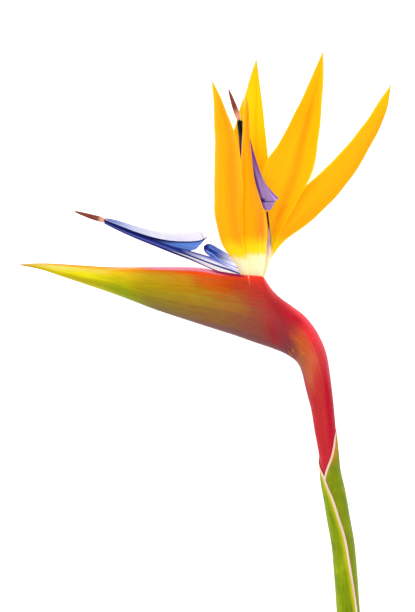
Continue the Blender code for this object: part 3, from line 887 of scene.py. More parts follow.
# %% The skin and the lining
def spathe_finish():
    made, tree, inputs = new_finish("spathe_skin", 0.4, gloss=0.1)
    across, along = tree.mark("across"), tree.mark("along")
    streaks = tree.grain(46, 7, detail=4)
    cloud = tree.grain(5, 9, seed=3)
    fine = tree.grain(150, 16, seed=11)
    flecks = tree.grain(70, 60, seed=19)
    way = along + (cloud - 0.5) * 0.04 + (streaks - 0.5) * 0.035
    height = abs(across - 0.5) * 2
    level = height + (streaks - 0.5) * 0.22 + (cloud - 0.5) * 0.12
    low, colour = SPATHE_BANDS[0][0], tree.ramp(way, SPATHE_BANDS[0][1])
    for high, stops in SPATHE_BANDS[1:]:
        colour = tree.mix(level.step(low, high), colour, tree.ramp(way, stops))
        low = high
    station = along * (len(SPATHE) - 1)
    # The pink border on the beak and flank: partly the rim's own pink, partly painted light through the
    # thin rim.
    pink = height.step(0.81, 0.87) * station.step(4.6, 5.6) * station.step(8.2, 7.4)
    colour = tree.mix(pink * 0.9, colour, RIM_PINK)
    # The pink line on top of the rim before the heel: partly the rim's own pink, partly a painted
    # highlight.
    pink = height.step(0.93, 0.97) * station.step(8.0, 9.0) * station.step(11.2, 10.4)
    colour = tree.mix(pink * 0.7, colour, RIM_PINK)
    peach = height.step(0.8, 0.88) * station.step(1.4, 2.2) * station.step(5.4, 4.2)
    colour = tree.mix(peach * 0.8, colour, RIM_PEACH)
    # Painted shadow: a maroon strip on the rim where the root of the lying arrow shades it.
    arrow_shadow = height.step(0.84, 0.885) * station.step(7.2, 7.7) * station.step(9.2, 8.7)
    colour = tree.mix(arrow_shadow, colour, ARROW_SHADOW_MAROON)
    lip = tree.mark("edge").step(0.45, 0.2) * station.step(5.4, 4.2)
    colour = tree.mix(lip * 0.8, colour, RIM_ORANGE)
    from_notch = abs(station - NOTCH_STATION)
    notch = from_notch.step(0.07, 0.02) * height.step(0.84, 0.88)
    colour = tree.mix(notch * 0.6, colour, RIM_PEACH)
    tail = from_notch.step(0.05, 0.02) * height.step(0.7, 0.84)
    colour = tree.mix(tail * 0.3, colour, RIM_PEACH)
    heel = station.step(12.6, 13.2) * station.step(15.4, 14.6) * height.step(0.6, 0.4)
    gold = heel * tree.grain(20, 40, seed=41).step(0.54, 0.66)
    colour = tree.mix(gold * 0.5, colour, HEEL_GOLD)
    shade = (fine - 0.5) * 0.45 + (flecks - 0.5) * 0.35 + 0.94
    colour = tree.add(
        "ShaderNodeHueSaturation", inputs={"Value": shade, "Saturation": 1.03, "Color": colour}
    )
    dress(tree, inputs, colour, fine, 0.12, roughness=streaks * 0.25 + 0.3)
    return made


def lining_finish():
    made, tree, inputs = new_finish("spathe_lining", 0.5, glow=0.1)
    streaks = tree.grain(50, 6, detail=4, seed=23)
    warm = tree.mix(streaks.step(0.35, 0.65), paint(255, 222, 90), paint(255, 196, 70))
    rosy = tree.mix(streaks.step(0.35, 0.65), paint(250, 170, 150), paint(240, 110, 110))
    along = tree.mark("along")
    colour = tree.mix(along.step(0.2, 0.36), warm, rosy)
    colour = tree.mix(along.step(0.42, 0.5), colour, paint(204, 44, 56))
    dress(tree, inputs, colour, streaks, 0.1)
    # Painted glow: near the beak the lining gives a little light in its colour, where it lies in shade
    # inside the slit; further along the glow colour is black, so it gives none.
    dark = tree.mix(along.step(0.24, 0.32), colour, paint(0, 0, 0))
    add_painted_glow(tree, inputs, dark, LINING_GLOW)
    return made


# %% [markdown]
# The outside of the spathe is a waxy skin and its inside a pale lining, so the wall is given two
# materials: Solidify paints the inner shell with the second one. The wall grows inwards from the
# surface that was drawn, so the outside keeps its size.


# %% The spathe's skin
def make_spathe():
    made = sheet_object("spathe_bract", [patch(spathe_grid())], merge=0.01)
    data = made.data
    edge, along = read_marks(data, "edge", "along")
    closed = along * (len(SPATHE) - 1) > SLIT_END
    edge = np.where(closed, FAR_FROM_EDGE, edge).astype(np.float32)
    data.attributes["edge"].data.foreach_set("value", edge)
    skin = spathe_finish()
    data.materials.append(skin)
    data.materials.append(lining_finish())
    veined(made, skin, count=46, height=0.09, crest=1.0, margin=1.0)
    wall(made, SPATHE_WALL, offset=-1.0, thin=0.35, reach=3.0, tip=1.1)
    shares = made.vertex_groups["wall"]
    for i, way in enumerate(along):
        beak = 0.12 + 0.88 * float(smooth(0.0, 0.14, way))
        base = 1 - 0.5 * float(smooth(0.86, 1.0, way))
        shares.add([i], shares.weight(i) * beak * base, "REPLACE")
    made.modifiers["wall"].material_offset = 1
    return hand_over(plain(made), "spathe", "spathe")


make_spathe()

# %% [markdown]
# ## The stalk
# The stalk is a plain round stem that runs from the cut end up inside the spathe. A curve with a
# round bevel would make it too, but a ring carried along the path gives it the same marks as the
# sheets, for its streaks. Where the florist cut it, the flat end shows the plant's plumbing:
# bundles of vessels scattered through the pith, which Geometry Nodes lay out.

# %% The stalk's path
STALK = (
    (4.0, -26.5, 0.0), (10.0, -28.5, 0.0), (17.0, -31.5, 0.0), (23.5, -35.8, 0.0),
    (28.8, -43.0, 0.0), (32.3, -52.5, 0.0), (35.0, -64.5, -0.3), (36.6, -76.5, -0.8),
    (38.1, -88.5, -1.4), (39.6, -101.0, -2.2), (42.1, -113.5, -3.1), (44.0, -126.0, -4.0),
    (45.5, -138.5, -4.9), (46.6, -151.0, -5.8), (47.5, -163.5, -6.6), (48.7, -180.0, -7.6),
    (50.3, -208.5, -9.0),
)
STALK_RADII = (2.2, 2.7, 3.2, 3.7, 3.8, 3.8, 3.8, 3.7, 3.5, 3.5, 4.0, 4.1, 4.1, 4.1, 4.1, 4.1, 4.1)
STALK_STEPS = 10
STALK_PATH = through(STALK, STALK_STEPS)
print("stalk length, mm:", round(row_lengths(STALK_PATH[None])[0, -1]))


# %% A rod along a path
def frames_along(path):
    """The direction of a path at each of its points, with the two directions square to it."""
    ahead = np.gradient(path, axis=0)
    ahead /= np.linalg.norm(ahead, axis=1, keepdims=True)
    side = np.cross(-ahead, [0.0, 0.0, 1.0])
    side /= np.linalg.norm(side, axis=1, keepdims=True)
    return -ahead, side, np.cross(side, -ahead)


def rod_grid(path, radii, columns=48):
    """A round skin about the path, closed to a point at each end so that it has flat caps."""
    _, side, up = frames_along(path)
    turn = np.linspace(0, math.tau, columns + 1)[None, :, None]
    ring = np.sin(turn) * side[:, None] + np.cos(turn) * up[:, None]
    skin = path[:, None] + ring * np.asarray(radii)[:, None, None]
    caps = [np.repeat(path[i][None, None], columns + 1, axis=1) for i in (0, -1)]
    return np.concatenate([caps[0], skin, caps[1]])


# %% The stalk's finish
def stalk_finish():
    made, tree, inputs = new_finish("stalk_green", 0.5)
    streaks = tree.grain(26, 40)
    colour = tree.mix(streaks.step(0.3, 0.7), paint(120, 140, 40), paint(165, 178, 78))
    cut = tree.mix(tree.grain(9, 4, seed=5).step(0.35, 0.7), paint(196, 208, 140), paint(222, 226, 176))
    colour = tree.mix(tree.mark("along").step(0.9935, 0.9945), colour, cut)
    dress(tree, inputs, colour, streaks, 0.1)
    return made


# %% The stalk itself
def make_stalk():
    radii = through([(r, 0, 0) for r in STALK_RADII], STALK_STEPS)[:, 0]
    made = sheet_object("stalk_rod", [patch(rod_grid(STALK_PATH, radii), free=(False, False))])
    made.data.materials.append(stalk_finish())
    return hand_over(made, "stalk", "peduncle")


make_stalk()


# %% [markdown]
# ## Vessel bundles on the cut
# A palm-like stem has no rings. Its bundles are strewn through the pith, denser towards the skin. The
# tree below sets one small dome for each bundle on a sunflower spiral: the angle turns by the golden
# angle each time. A radius that grew as the square root of the count would spread them evenly, and
# a slightly smaller power crowds them towards the skin.

# %% The bundle tree
GOLDEN_ANGLE = 137.508
CROWDING = 0.42


def bundle_tree():
    tree, given = new_tree(
        "bundles",
        ("Count", "Int", 60),
        ("Radius", "Float", 0.0037),
        ("Size", "Float", 0.0002),
        ("Seed", "Int", 7),
    )
    index = tree.add("GeometryNodeInputIndex")
    angle = index * math.radians(GOLDEN_ANGLE)
    reach = ((index + 0.5) / given["Count"]) ** CROWDING * given["Radius"]
    spot = tree.add(
        "ShaderNodeCombineXYZ", inputs={0: angle.math("COSINE") * reach, 1: angle.math("SINE") * reach}
    )
    points = tree.add("GeometryNodePoints", inputs={"Count": given["Count"], "Position": spot})
    dome = tree.add(
        "GeometryNodeMeshUVSphere", inputs={"Segments": 8, "Rings": 5, "Radius": given["Size"]}
    )
    size = tree.add(
        "FunctionNodeRandomValue",
        {"data_type": "FLOAT"},
        {2: 0.6, 3: 1.25, "Seed": given["Seed"]},
        output=1,
    )
    strewn = tree.add(
        "GeometryNodeInstanceOnPoints", inputs={"Points": points, "Instance": dome, "Scale": size}
    )
    return end_tree(tree, strewn, given["Material"])


# %% The bundles' finish
def bundle_finish():
    made, tree, inputs = new_finish("bundle_brown", 0.6)
    place = tree.add("ShaderNodeTexCoord", output="Object")
    speckle = tree.add("ShaderNodeTexNoise", inputs={"Vector": place, "Scale": 900.0})
    tree.feed(inputs["Base Color"], tree.mix(speckle, paint(120, 110, 52), paint(168, 152, 84)))
    return made


# %% The bundles themselves
BUNDLE_COUNT = 64
BUNDLE_REACH = 3.7
BUNDLE_SIZE = 0.22
DOME_FLATNESS = 0.45


def make_bundles():
    holder = bpy.data.objects.new("vessel_bundles", bpy.data.meshes.new("vessel_bundles"))
    scene.collection.objects.link(holder)
    with_tree(
        holder,
        bundle_tree(),
        Count=BUNDLE_COUNT,
        Radius=BUNDLE_REACH * MM,
        Size=BUNDLE_SIZE * MM,
        Seed=7,
        Material=bundle_finish(),
    )
    made = plain(holder)
    ahead, side, up = frames_along(STALK_PATH)
    end = (STALK_PATH[-1] + np.array(MOUTH)) * MM
    for vertex in made.data.vertices:
        x, y, z = vertex.co
        vertex.co = end + side[-1] * x + up[-1] * y - ahead[-1] * z * DOME_FLATNESS
    return hand_over(made, "stalk")


make_bundles()

# %% [markdown]
# ## The leaf sheath
# Below the red neck one green bract wraps the stalk like a dressing gown. Its inner margin starts
# at a point high on the right and runs down to the left; the outer margin carries on from there
# and laps over it. So the sheet is given by the angles of its two margins at each height, and it
# winds outwards so that the lap has room.

# %% The sheath's margins
SHEATH = (
    (-78.0, 82, 98), (-81.0, 50, 140), (-86.0, 29, 195), (-90.3, 10, 235), (-94.8, -15, 279),
    (-99.6, -40, 317), (-106.0, -66, 336), (-113.0, -80, 351), (-127.5, -84, 371), (-142.5, -84, 381),
    (-155.0, -84, 393), (-168.0, -84, 404), (-185.0, -84, 412), (-208.0, -84, 420),
)
SHEATH_RADII = ((-118, 5.35), (-106, 5.4), (-97, 5.0), (-75, 5.3))
SHEATH_PITCHES = ((-115, 0.42), (-98, 0.12))
LAP_START = -84
SHEATH_WALL = 0.36
SHEATH_SHIFT = 0.8
SHIFT_BELOW = (-118, -138)
SHEATH_STEPS = 14
SHEATH_COLUMNS = 150


def sheath_grid():
    margins = through(SHEATH, SHEATH_STEPS)
    _, side, up = frames_along(STALK_PATH)
    order = np.argsort(STALK_PATH[:, 1])
    heights = margins[:, 0]

    def at_heights(values):
        columns = [np.interp(heights, STALK_PATH[order, 1], values[order, i]) for i in range(3)]
        return np.stack(columns, axis=1)

    centre, side, up = (at_heights(values)[:, None] for values in (STALK_PATH, side, up))
    share = np.linspace(0, 1, SHEATH_COLUMNS + 1)[None]
    angle = margins[:, 1:2] + (margins[:, 2:3] - margins[:, 1:2]) * share
    least, pitch = (np.interp(heights, *zip(*v))[:, None] for v in (SHEATH_RADII, SHEATH_PITCHES))
    radius = least + pitch * (angle - LAP_START) / 360
    turn = np.radians(angle)[:, :, None]
    grid = centre + radius[:, :, None] * (np.sin(turn) * side + np.cos(turn) * up)
    grid[:, :, 0] += SHEATH_SHIFT * smooth(*SHIFT_BELOW, heights)[:, None]
    return grid


# %% The sheath's finish
def sheath_finish():
    made, tree, inputs = new_finish("sheath_green", 0.42, gloss=0.1)
    across, along, edge = tree.marks()
    streaks = tree.grain(50, 12, detail=4)
    cloud = tree.grain(7, 16, seed=8)
    fine = tree.grain(170, 10, seed=2)
    mottle = streaks * 0.4 + cloud * 0.6
    lap = tree.ramp(
        mottle,
        [(0.3, paint(104, 124, 2)), (0.5, paint(132, 154, 0)), (0.66, paint(162, 180, 10))],
    )
    under = tree.ramp(
        mottle,
        [(0.3, paint(96, 120, 22)), (0.5, paint(126, 142, 8)), (0.7, paint(158, 162, 20))],
    )
    green = tree.mix(across.step(0.4, 0.6), under, lap)
    flush = edge.step(6.0, 1.0) * across.step(0.5, 0.3) * along.step(0.36, 0.2)
    green = tree.mix(flush * 0.85, green, paint(206, 134, 24))
    golden = edge.step(3.4, 1.5) * across.step(0.8, 0.95)
    green = tree.mix(golden * 0.7, green, paint(206, 202, 24))
    margin = tree.mix(streaks.step(0.35, 0.65), paint(252, 222, 204), paint(244, 196, 188))
    colour = tree.mix(edge.step(1.3, 1.0), green, margin)
    shade = (fine - 0.5) * 0.4 + 1.0
    colour = tree.add("ShaderNodeHueSaturation", inputs={"Value": shade, "Color": colour})
    dress(tree, inputs, colour, fine, 0.1, roughness=streaks * 0.25 + 0.32)
    return made


# %% The sheath itself
def make_sheath():
    made = sheet_object("sheath_wrap", [patch(sheath_grid())])
    veined(made, sheath_finish(), count=50, height=0.06, crest=1.0, margin=1.2)
    wall(made, SHEATH_WALL, thin=0.6, reach=1.5, tip=1.1)
    return hand_over(plain(made), "sheath", "stem_sheath")


make_sheath()

# %% [markdown]
# ## The arrows
# Two of a floret's petals are joined into the blue arrow. Its shaft is a trough that holds the style
# and the pollen, and from the notch on each side of the trough spreads into a wing, so the head has
# two barbs that point back. The sheet has three parts sewn along the rims of the trough: the
# trough itself, and the two wings, which start at the notch.

# %% Sewing an arrow
ARROW_STEPS = 14
TROUGH_COLUMNS = 36
WING_COLUMNS = 28
ARROW_WALL = 0.6
SHAFT = (0.35, 0.65)


def fit(points, rows):
    """A smooth curve through any number of points, sampled again to that many rows."""
    curve = through(points, ARROW_STEPS)
    want, have = np.linspace(0, 1, rows), np.linspace(0, 1, len(curve))
    return np.stack([np.interp(want, have, curve[:, i]) for i in range(3)], axis=1)


def arrow_patches(rims, trough, wings, notch):
    """The trough and its two wings, as patches. A wing is its middle, its outer edge and a lobe.

    The lobe rounds the barb: how far its back edge bulges, how far it dips, and where across it."""
    rims, trough = [through(rim, ARROW_STEPS) for rim in rims], through(trough, ARROW_STEPS)
    gutter = stretch(rims[0], trough, rims[1], 0.0, TROUGH_COLUMNS)
    start = notch * ARROW_STEPS
    first = start / (len(trough) - 1)
    patches = [
        patch(gutter[: start + 1], SHAFT, (0, first)),
        patch(gutter[start:], SHAFT, (first, 1), free=(False, False)),
    ]
    for side, (rim, (middle, outer, lobe)) in enumerate(zip(rims, wings)):
        rows = len(rim) - start
        wing = stretch(rim[start:], fit(middle, rows), fit(outer, rows), 0.0, WING_COLUMNS)
        share = np.linspace(0, 1, WING_COLUMNS + 1)[None]
        fade = 1 - smooth(0, 0.3, np.linspace(0, 1, rows))[:, None]
        bulge, dip, place = lobe
        back = wing[0] - wing[ARROW_STEPS // 2]
        back /= np.linalg.norm(back, axis=1, keepdims=True)
        swell = np.sin(np.pi * np.clip(share / place, 0, 1)) * fade
        wing = wing + (bulge * swell)[:, :, None] * back[None]
        wing[:, :, 2] -= dip * swell * fade
        reach = (SHAFT[0], 0.0) if side == 0 else (SHAFT[1], 1.0)
        patches.append(patch(wing, reach, (first, 1), free=(False, True)))
    return patches


def make_arrow(name, slot, patches, finish):
    made = sheet_object(name + "_blade", patches, merge=0.01)
    veined(made, finish, count=34, height=0.09, crest=1.2, margin=0.8)
    wall(made, ARROW_WALL, thin=0.3, reach=2.0, tip=0.97)
    return hand_over(plain(made), slot, name)


# %% The lying arrow's finish
NAVY = paint(16, 22, 92)
INDIGO = paint(44, 62, 150)
BLUE = paint(66, 110, 200)
SKY = paint(140, 184, 246)
ICE = paint(242, 247, 255)
LILAC = paint(208, 218, 255)
STRAW = paint(232, 232, 206)
INK = paint(8, 12, 74)
ARROW_GLOW = 0.13
ROOT_GLOW = 0.6


def lines(tree, count, sharpness, seed):
    """Fine dark and light lines that run along a petal, a little uneven, from 0 to 1."""
    drift = (tree.grain(9, 2.5, seed=seed) - 0.5) * 1.6
    wave = ((tree.mark("across") * count + drift) * math.tau).math("COSINE") * 0.5 + 0.5
    return wave ** sharpness * (tree.grain(40, 3, seed=seed + 1).step(0.3, 0.6) * 0.7 + 0.3)


def arrow_a_finish():
    made, tree, inputs = new_finish("arrow_blue", 0.4, gloss=0.06, glow=0.1)
    across, along, edge = tree.marks()
    streaks = tree.grain(60, 4, detail=4)
    ribs = lines(tree, 42, 1.5, 6)
    shaft = tree.mix((streaks - 0.4) * 1.2 + ribs * 0.6, NAVY, INDIGO)
    stripes = lines(tree, 17, 1.2, 61)
    root = tree.mix(stripes * 1.4 + (streaks - 0.6) * 1.8, paint(246, 248, 255), paint(52, 92, 196))
    shaft = tree.mix(along.step(0.52, 0.3), shaft, root)
    shaft = tree.mix(along.step(0.22, 0.06) * 0.8, shaft, ICE)
    ridge = abs(across - 0.405).step(0.022, 0.004) * along.step(0.46, 0.6)
    shaft = tree.mix(ridge * 0.55, shaft, paint(112, 124, 196))
    shaft = tree.mix(across.step(0.45, 0.475) * along.step(0.08, 0.3) * 0.85, shaft, INK)
    for centre, width, weight, colour in ((0.42, 0.012, 1.0, STRAW), (0.4, 0.008, 0.8, INK)):
        groove = abs(across - centre).step(width, width / 3)
        shaft = tree.mix(groove * along.step(0.62, 0.46) * weight, shaft, colour)
    near = tree.mix(ribs * 0.7 + (streaks - 0.45) * 1.8, BLUE, SKY)
    near = tree.mix(across.step(0.3, 0.36) * 0.7, near, NAVY)
    near = tree.mix(along.step(0.56, 0.7), near, paint(6, 10, 62))
    near = tree.mix(across.step(0.05, 0.02) * 0.9, near, INK)
    far = tree.mix(ribs * 0.35 + (streaks - 0.4) * 0.7, ICE, LILAC)
    far = tree.mix(across.step(0.76, 0.7) * along.step(0.6, 0.9) * 0.9, far, BLUE)
    far = tree.mix(along.step(0.66, 0.9) * 0.35, far, paint(112, 150, 240))
    far = tree.mix(edge.step(0.5, 0.3) * 0.8, far, paint(84, 112, 196))
    far = tree.mix(along.step(0.8, 0.97) * (ribs * 0.6 + 0.4), far, paint(70, 96, 190))
    colour = tree.mix(across.step(0.365, 0.345), shaft, near)
    colour = tree.mix(across.step(0.64, 0.67), colour, far)
    dress(tree, inputs, colour, ribs, 0.1, roughness=streaks * 0.2 + 0.32)
    # Painted glow: strongest over the pale root, which lies in shade, and weak elsewhere.
    painted_glow = tree.mix(along.step(0.46, 0.24) * across.step(0.365, 0.42) * 0.7 + 0.22, INK, colour)
    add_painted_glow(tree, inputs, painted_glow, ROOT_GLOW)
    return made


# %% The lying arrow
def make_arrow_a():
    trough = [(-2.5, -5, 4.3), (-4.0, -2.8, 4.3), (-9, -0.9, 4.3), (-18.8, 2.5, 4.5), (-30, 7.3, 4.9),
              (-38, 10.3, 5.1), (-47, 13.9, 5.3), (-57, 17.9, 5.6), (-66, 21.9, 5.9), (-73.5, 25.6, 6)]
    rim = [(0.1, -5), (-2.0, 1.8), (-8, 4.8), (-17.3, 7.9), (-31.2, 12.0), (-38.5, 14.2), (-47.3, 17),
           (-57.2, 20.3), (-66, 23.6), (-73.5, 26.9)]
    spread = (1.2, 1.6, 1.9, 2.0, 2.0, 2.0, 1.9, 1.7, 1.5, 1.1)
    rims = [
        [(x, y, place[2] + sign * s) for (x, y), place, s in zip(rim, trough, spread)]
        for sign in (1, -1)
    ]
    near = (
        [(-26.6, 14.2, 8.6), (-35.5, 15.0, 8.8), (-46, 17, 8.5), (-57.1, 20.3, 7.9),
         (-66.5, 23.9, 7.6), (-73.6, 27.0, 7)],
        [(-22.3, 19.4, 9.5), (-22.9, 18.1, 9.7), (-24.9, 16.9, 9.9), (-29, 16.3, 10.1), (-34, 16.1, 10.1),
         (-39, 16.3, 9.9), (-45, 17.2, 9.6), (-51, 18.8, 9.1), (-57, 20.8, 8.6), (-62, 22.7, 8.3),
         (-67, 24.6, 8), (-73.7, 27.5, 7.3)],
        (0.4, 1.0, 0.5),
    )
    far = (
        [(-27.2, 14.6, 1.4), (-36.3, 17.5, 1.2), (-45.8, 19.2, 1.9), (-56.3, 21.7, 2.9),
         (-65.8, 25.0, 4), (-73.4, 27.4, 4.9)],
        [(-24.0, 18.0, 0.4), (-24.4, 20.0, 0.1), (-26.0, 21.4, -0.1), (-30, 21.6, -0.2), (-37, 21.3, 0),
         (-44, 21.4, 0.6),
         (-50, 22.3, 1.4), (-56, 23.7, 2.2), (-61, 25.2, 2.9), (-66, 26.8, 3.6), (-70, 27.8, 4.2),
         (-73.3, 28.2, 4.6)],
        (0.0, 0.0, 0.5),
    )
    patches = arrow_patches(rims, trough, (near, far), notch=4)
    return make_arrow("floret_a_arrow", "petal", patches, arrow_a_finish())


make_arrow_a()


# %% The upright arrow's finish
ROLL_ABOVE = 36.6


def arrow_b_finish():
    made, tree, inputs = new_finish("arrow_purple", 0.42, gloss=0.1, glow=0.1)
    across, along, edge = tree.marks()
    streaks = tree.grain(46, 3, detail=4)
    ribs = lines(tree, 40, 1.4, 16)
    mauve = tree.mix(ribs * 0.7 + (streaks - 0.4) * 1.8, paint(140, 104, 190), paint(206, 186, 240))
    mauve = tree.mix(along.step(0.5, 0.76), mauve, paint(116, 66, 170))
    colour = tree.mix(edge.step(1.2, 0.5) * 0.8, mauve, paint(92, 44, 200))
    colour = tree.mix(across.step(0.76, 0.68) * 0.8, colour, paint(60, 20, 104))
    above = height_up(tree) - ROLL_ABOVE
    # Painted shade: a dark band where the barb's edge rolls over.
    rolled_edge_shade = abs(above).step(0.42, 0.14) * across.step(0.97, 0.9)
    colour = tree.mix(rolled_edge_shade * 0.75, colour, paint(64, 26, 116))
    # Painted shade: a dark spot in the hollow of the barb's lobe.
    spot = above.step(2.6, 0.9) * above.step(-0.6, 0.2) * across.step(0.84, 0.74)
    colour = tree.mix(spot * 0.9, colour, paint(22, 16, 96))
    shaft = tree.mix((streaks - 0.4) * 1.4, paint(40, 20, 80), paint(96, 70, 150))
    colour = tree.mix(across.step(0.68, 0.62) * across.step(0.32, 0.38), colour, shaft)
    colour = tree.mix(along.step(0.72, 0.84), colour, paint(16, 0, 24))
    colour = tree.mix(along.step(0.3, 0.05), colour, paint(214, 206, 236))
    dress(tree, inputs, colour, ribs, 0.1, roughness=streaks * 0.2 + 0.34)
    # Painted glow in the arrow's own colour, which lightens its shaded parts.
    add_painted_glow(tree, inputs, colour, ARROW_GLOW)
    return made


# %% The upright arrow
def make_arrow_b():
    trough = [(1.6, -5, -2.5), (2.9, 2, -1.0), (3.8, 12, 1.5), (3.2, 25, 3.8), (2, 35, 4.8),
              (-0.5, 47, 5.8), (-2.9, 58.5, 7.1), (-4.6, 67.5, 8.3), (-5.9, 73.5, 9.2), (-6.4, 76.5, 9.7)]
    spread = (1.1, 1.5, 1.8, 2, 2, 2, 1.7, 1.4, 1.1, 0.8)
    depth = (3, 3.2, 3.4, 3.4, 3.4, 3.1, 2.5, 1.9, 1.4, 1.0)
    rims = [
        [(x + sign * s, y, z - d) for (x, y, z), s, d in zip(trough, spread, depth)]
        for sign in (-1, 1)
    ]
    left = (
        [(-4.8, 34.3, 1.3), (-5.6, 46.5, 2.4), (-5.4, 58, 4.4), (-6.2, 67, 6.3),
         (-7.1, 73.3, 7.6), (-7.3, 76.4, 8.5)],
        [(-9, 38.5, 1.2), (-8.2, 48, 2.1), (-6.3, 58, 4.2), (-6.5, 67, 6),
         (-7.3, 73.3, 7.3), (-7.5, 76.4, 8.2)],
        (0.8, 0.8, 0.8),
    )
    right = (
        [(8.6, 34.6, 1.6), (4.3, 46.3, 2.5), (0.9, 57, 4.4), (-1.9, 67, 6.2),
         (-4.5, 73.3, 7.6), (-5.4, 76.4, 8.5)],
        [(13.2, 38.3, 2), (9.3, 42.2, 2.2), (6.0, 46.8, 2.5), (3.0, 54, 3.4), (0.6, 61.5, 4.8),
         (-0.9, 67, 5.9), (-3.9, 73.3, 7.3), (-5.0, 76.4, 8.2)],
        (2.1, 1.6, 0.78),
    )
    patches = arrow_patches(rims, trough, (left, right), notch=4)
    return make_arrow("floret_b_arrow", "petal_upright", patches, arrow_b_finish())


make_arrow_b()

# %% [markdown]
# ## The hoods
# The third petal of a floret is small and bent over the nectar like a hood. Floret A's is a curled
# blue scoop behind its arrow, and floret B's stands up as a thin dark spike with a pale root.


# %% The hoods' finishes
def hood_a_finish():
    made, tree, inputs = new_finish("hood_blue", 0.4, gloss=0.05, glow=0.1)
    across, along, edge = tree.marks()
    streaks = tree.grain(30, 5, detail=4)
    ribs = lines(tree, 11, 1.2, 26)
    colour = tree.mix(ribs * 1.1 + (streaks - 0.55) * 2.4, paint(22, 74, 176), paint(150, 186, 250))
    core = abs(across - 0.17).step(0.13, 0.03) * along.step(0.3, 0.55)
    colour = tree.mix(core * (1.4 - ribs) * 0.9, colour, paint(10, 30, 120))
    root = tree.mix(ribs * 1.3 + (streaks - 0.55) * 1.4, paint(242, 242, 255), paint(84, 118, 204))
    colour = tree.mix(along.step(0.66, 0.3), colour, root)
    colour = tree.mix(along.step(0.8, 0.89) * 0.9, colour, paint(20, 30, 104))
    colour = tree.mix(edge.step(0.6, 0.3) * along.step(0.3, 0.6) * 0.6, colour, paint(50, 60, 150))
    dress(tree, inputs, colour, ribs, 0.1)
    # Painted glow: strongest over the pale root, which lies in shade, and weak elsewhere.
    painted_glow = tree.mix(along.step(0.66, 0.3) * 0.76 + 0.24, INK, colour)
    add_painted_glow(tree, inputs, painted_glow, ROOT_GLOW)
    return made


def hood_b_finish():
    made, tree, inputs = new_finish("hood_purple", 0.4, gloss=0.1, glow=0.1)
    across, along = tree.mark("across"), tree.mark("along")
    streaks = tree.grain(26, 3, detail=4)
    lavender = tree.mix((streaks - 0.3) * 1.6, paint(180, 160, 206), paint(226, 216, 238))
    dark = across.step(0.6, 0.8).math("MAXIMUM", along.step(0.62, 0.76))
    colour = tree.mix(dark, lavender, paint(74, 0, 56))
    rosy = tree.mix(streaks.step(0.4, 0.6), paint(248, 226, 200), paint(236, 196, 196))
    colour = tree.mix((along + (streaks - 0.5) * 0.15).step(0.5, 0.42), colour, rosy)
    colour = tree.mix(along.step(0.4, 0.3), colour, CREAM)
    dress(tree, inputs, colour, streaks, 0.1)
    # Painted glow in the hood's own colour, which lightens it where it lies in shade.
    add_painted_glow(tree, inputs, colour, SEPAL_GLOW)
    return made


# %% Both hoods
HOOD_STEPS = 14
HOOD_COLUMNS = 48
HOOD_WALL = 0.48


def make_hood(name, slot, left, middle, right, finish):
    guides = [through(points, HOOD_STEPS) for points in (left, middle, right)]
    grid = stretch(*guides, fold=0.1, columns=HOOD_COLUMNS)
    made = sheet_object(name + "_blade", [patch(grid)], merge=0.01)
    veined(made, finish, count=12, height=0.1, crest=1.2, margin=0.8)
    wall(made, HOOD_WALL, thin=0.4, reach=1.5)
    return hand_over(plain(made), slot, name)


make_hood(
    "floret_a_hood",
    "petal",
    [(1.3, -4.6, 5.6), (-2.5, 0.2, 6.9), (-8.0, 2.4, 7.4), (-14.5, 5.0, 7.6), (-20.0, 8.3, 7.2),
     (-23.2, 11.0, 6.4), (-24.2, 13.0, 5.4)],
    [(1.9, -4.6, 4.3), (-1.5, 2.8, 4.7), (-7.0, 6.6, 4.9), (-12.6, 10.2, 5.2), (-17.6, 13.2, 5.6),
     (-21.2, 15.0, 6.0), (-23.8, 14.4, 5.4)],
    [(1.3, -4.6, 3.0), (-1.5, 2.6, 2.4), (-7.6, 5.8, 2.1), (-13.4, 8.6, 2.4), (-19.4, 11.6, 3.0),
     (-22.6, 13.4, 3.8), (-24.2, 13.8, 4.9)],
    hood_a_finish(),
)
make_hood(
    "floret_b_hood",
    "petal_upright",
    [(2.6, -4.6, -0.9), (5.2, 3, 0.1), (6.8, 12, 0.6), (8.25, 19.5, 1), (7.6, 27, 1.8),
     (7.1, 31.3, 1.8)],
    [(3.4, -4.6, -1.2), (6.8, 3, 0.1), (8.3, 12, 0.9), (8.75, 19.5, 1.2), (8.0, 27, 1.9),
     (7.5, 31.6, 2.3)],
    [(4.1, -4.6, -1.7), (7.7, 3, -0.7), (9.4, 12, 0), (9.3, 19.5, 0.6), (8.4, 27, 1.5),
     (7.9, 31.3, 1.6)],
    hood_b_finish(),
)

# %% [markdown]
# ## Styles and stigmas
# A thread, the style, lies in each arrow's trough and comes out past its point as a brown stigma,
# which is sticky and rough. The style is a round rod on a path, thicker from where the stigma
# starts. The roughness of the stigma is a crowd of tiny knobs, which Geometry Nodes scatter over it.

# %% The styles' finish
STIGMA_FROM = 0.82


def style_finish(name, root, tip_dark):
    made, tree, inputs = new_finish(name, 0.55)
    along = tree.mark("along")
    streaks = tree.grain(8, 60, detail=4)
    brown = tree.mix((streaks - 0.3) * 1.5, paint(120, 54, 40), paint(166, 92, 76))
    colour = tree.mix(along.step(STIGMA_FROM - 0.02, STIGMA_FROM + 0.02), paint(196, 206, 238), brown)
    near_root = along.step(STIGMA_FROM - 0.04, STIGMA_FROM) * along.step(root, STIGMA_FROM + 0.01)
    colour = tree.mix(near_root, colour, paint(232, 176, 152))
    colour = tree.mix(along.step(tip_dark, 1.0), colour, paint(112, 46, 36))
    dress(tree, inputs, colour, streaks, 0.15)
    return made


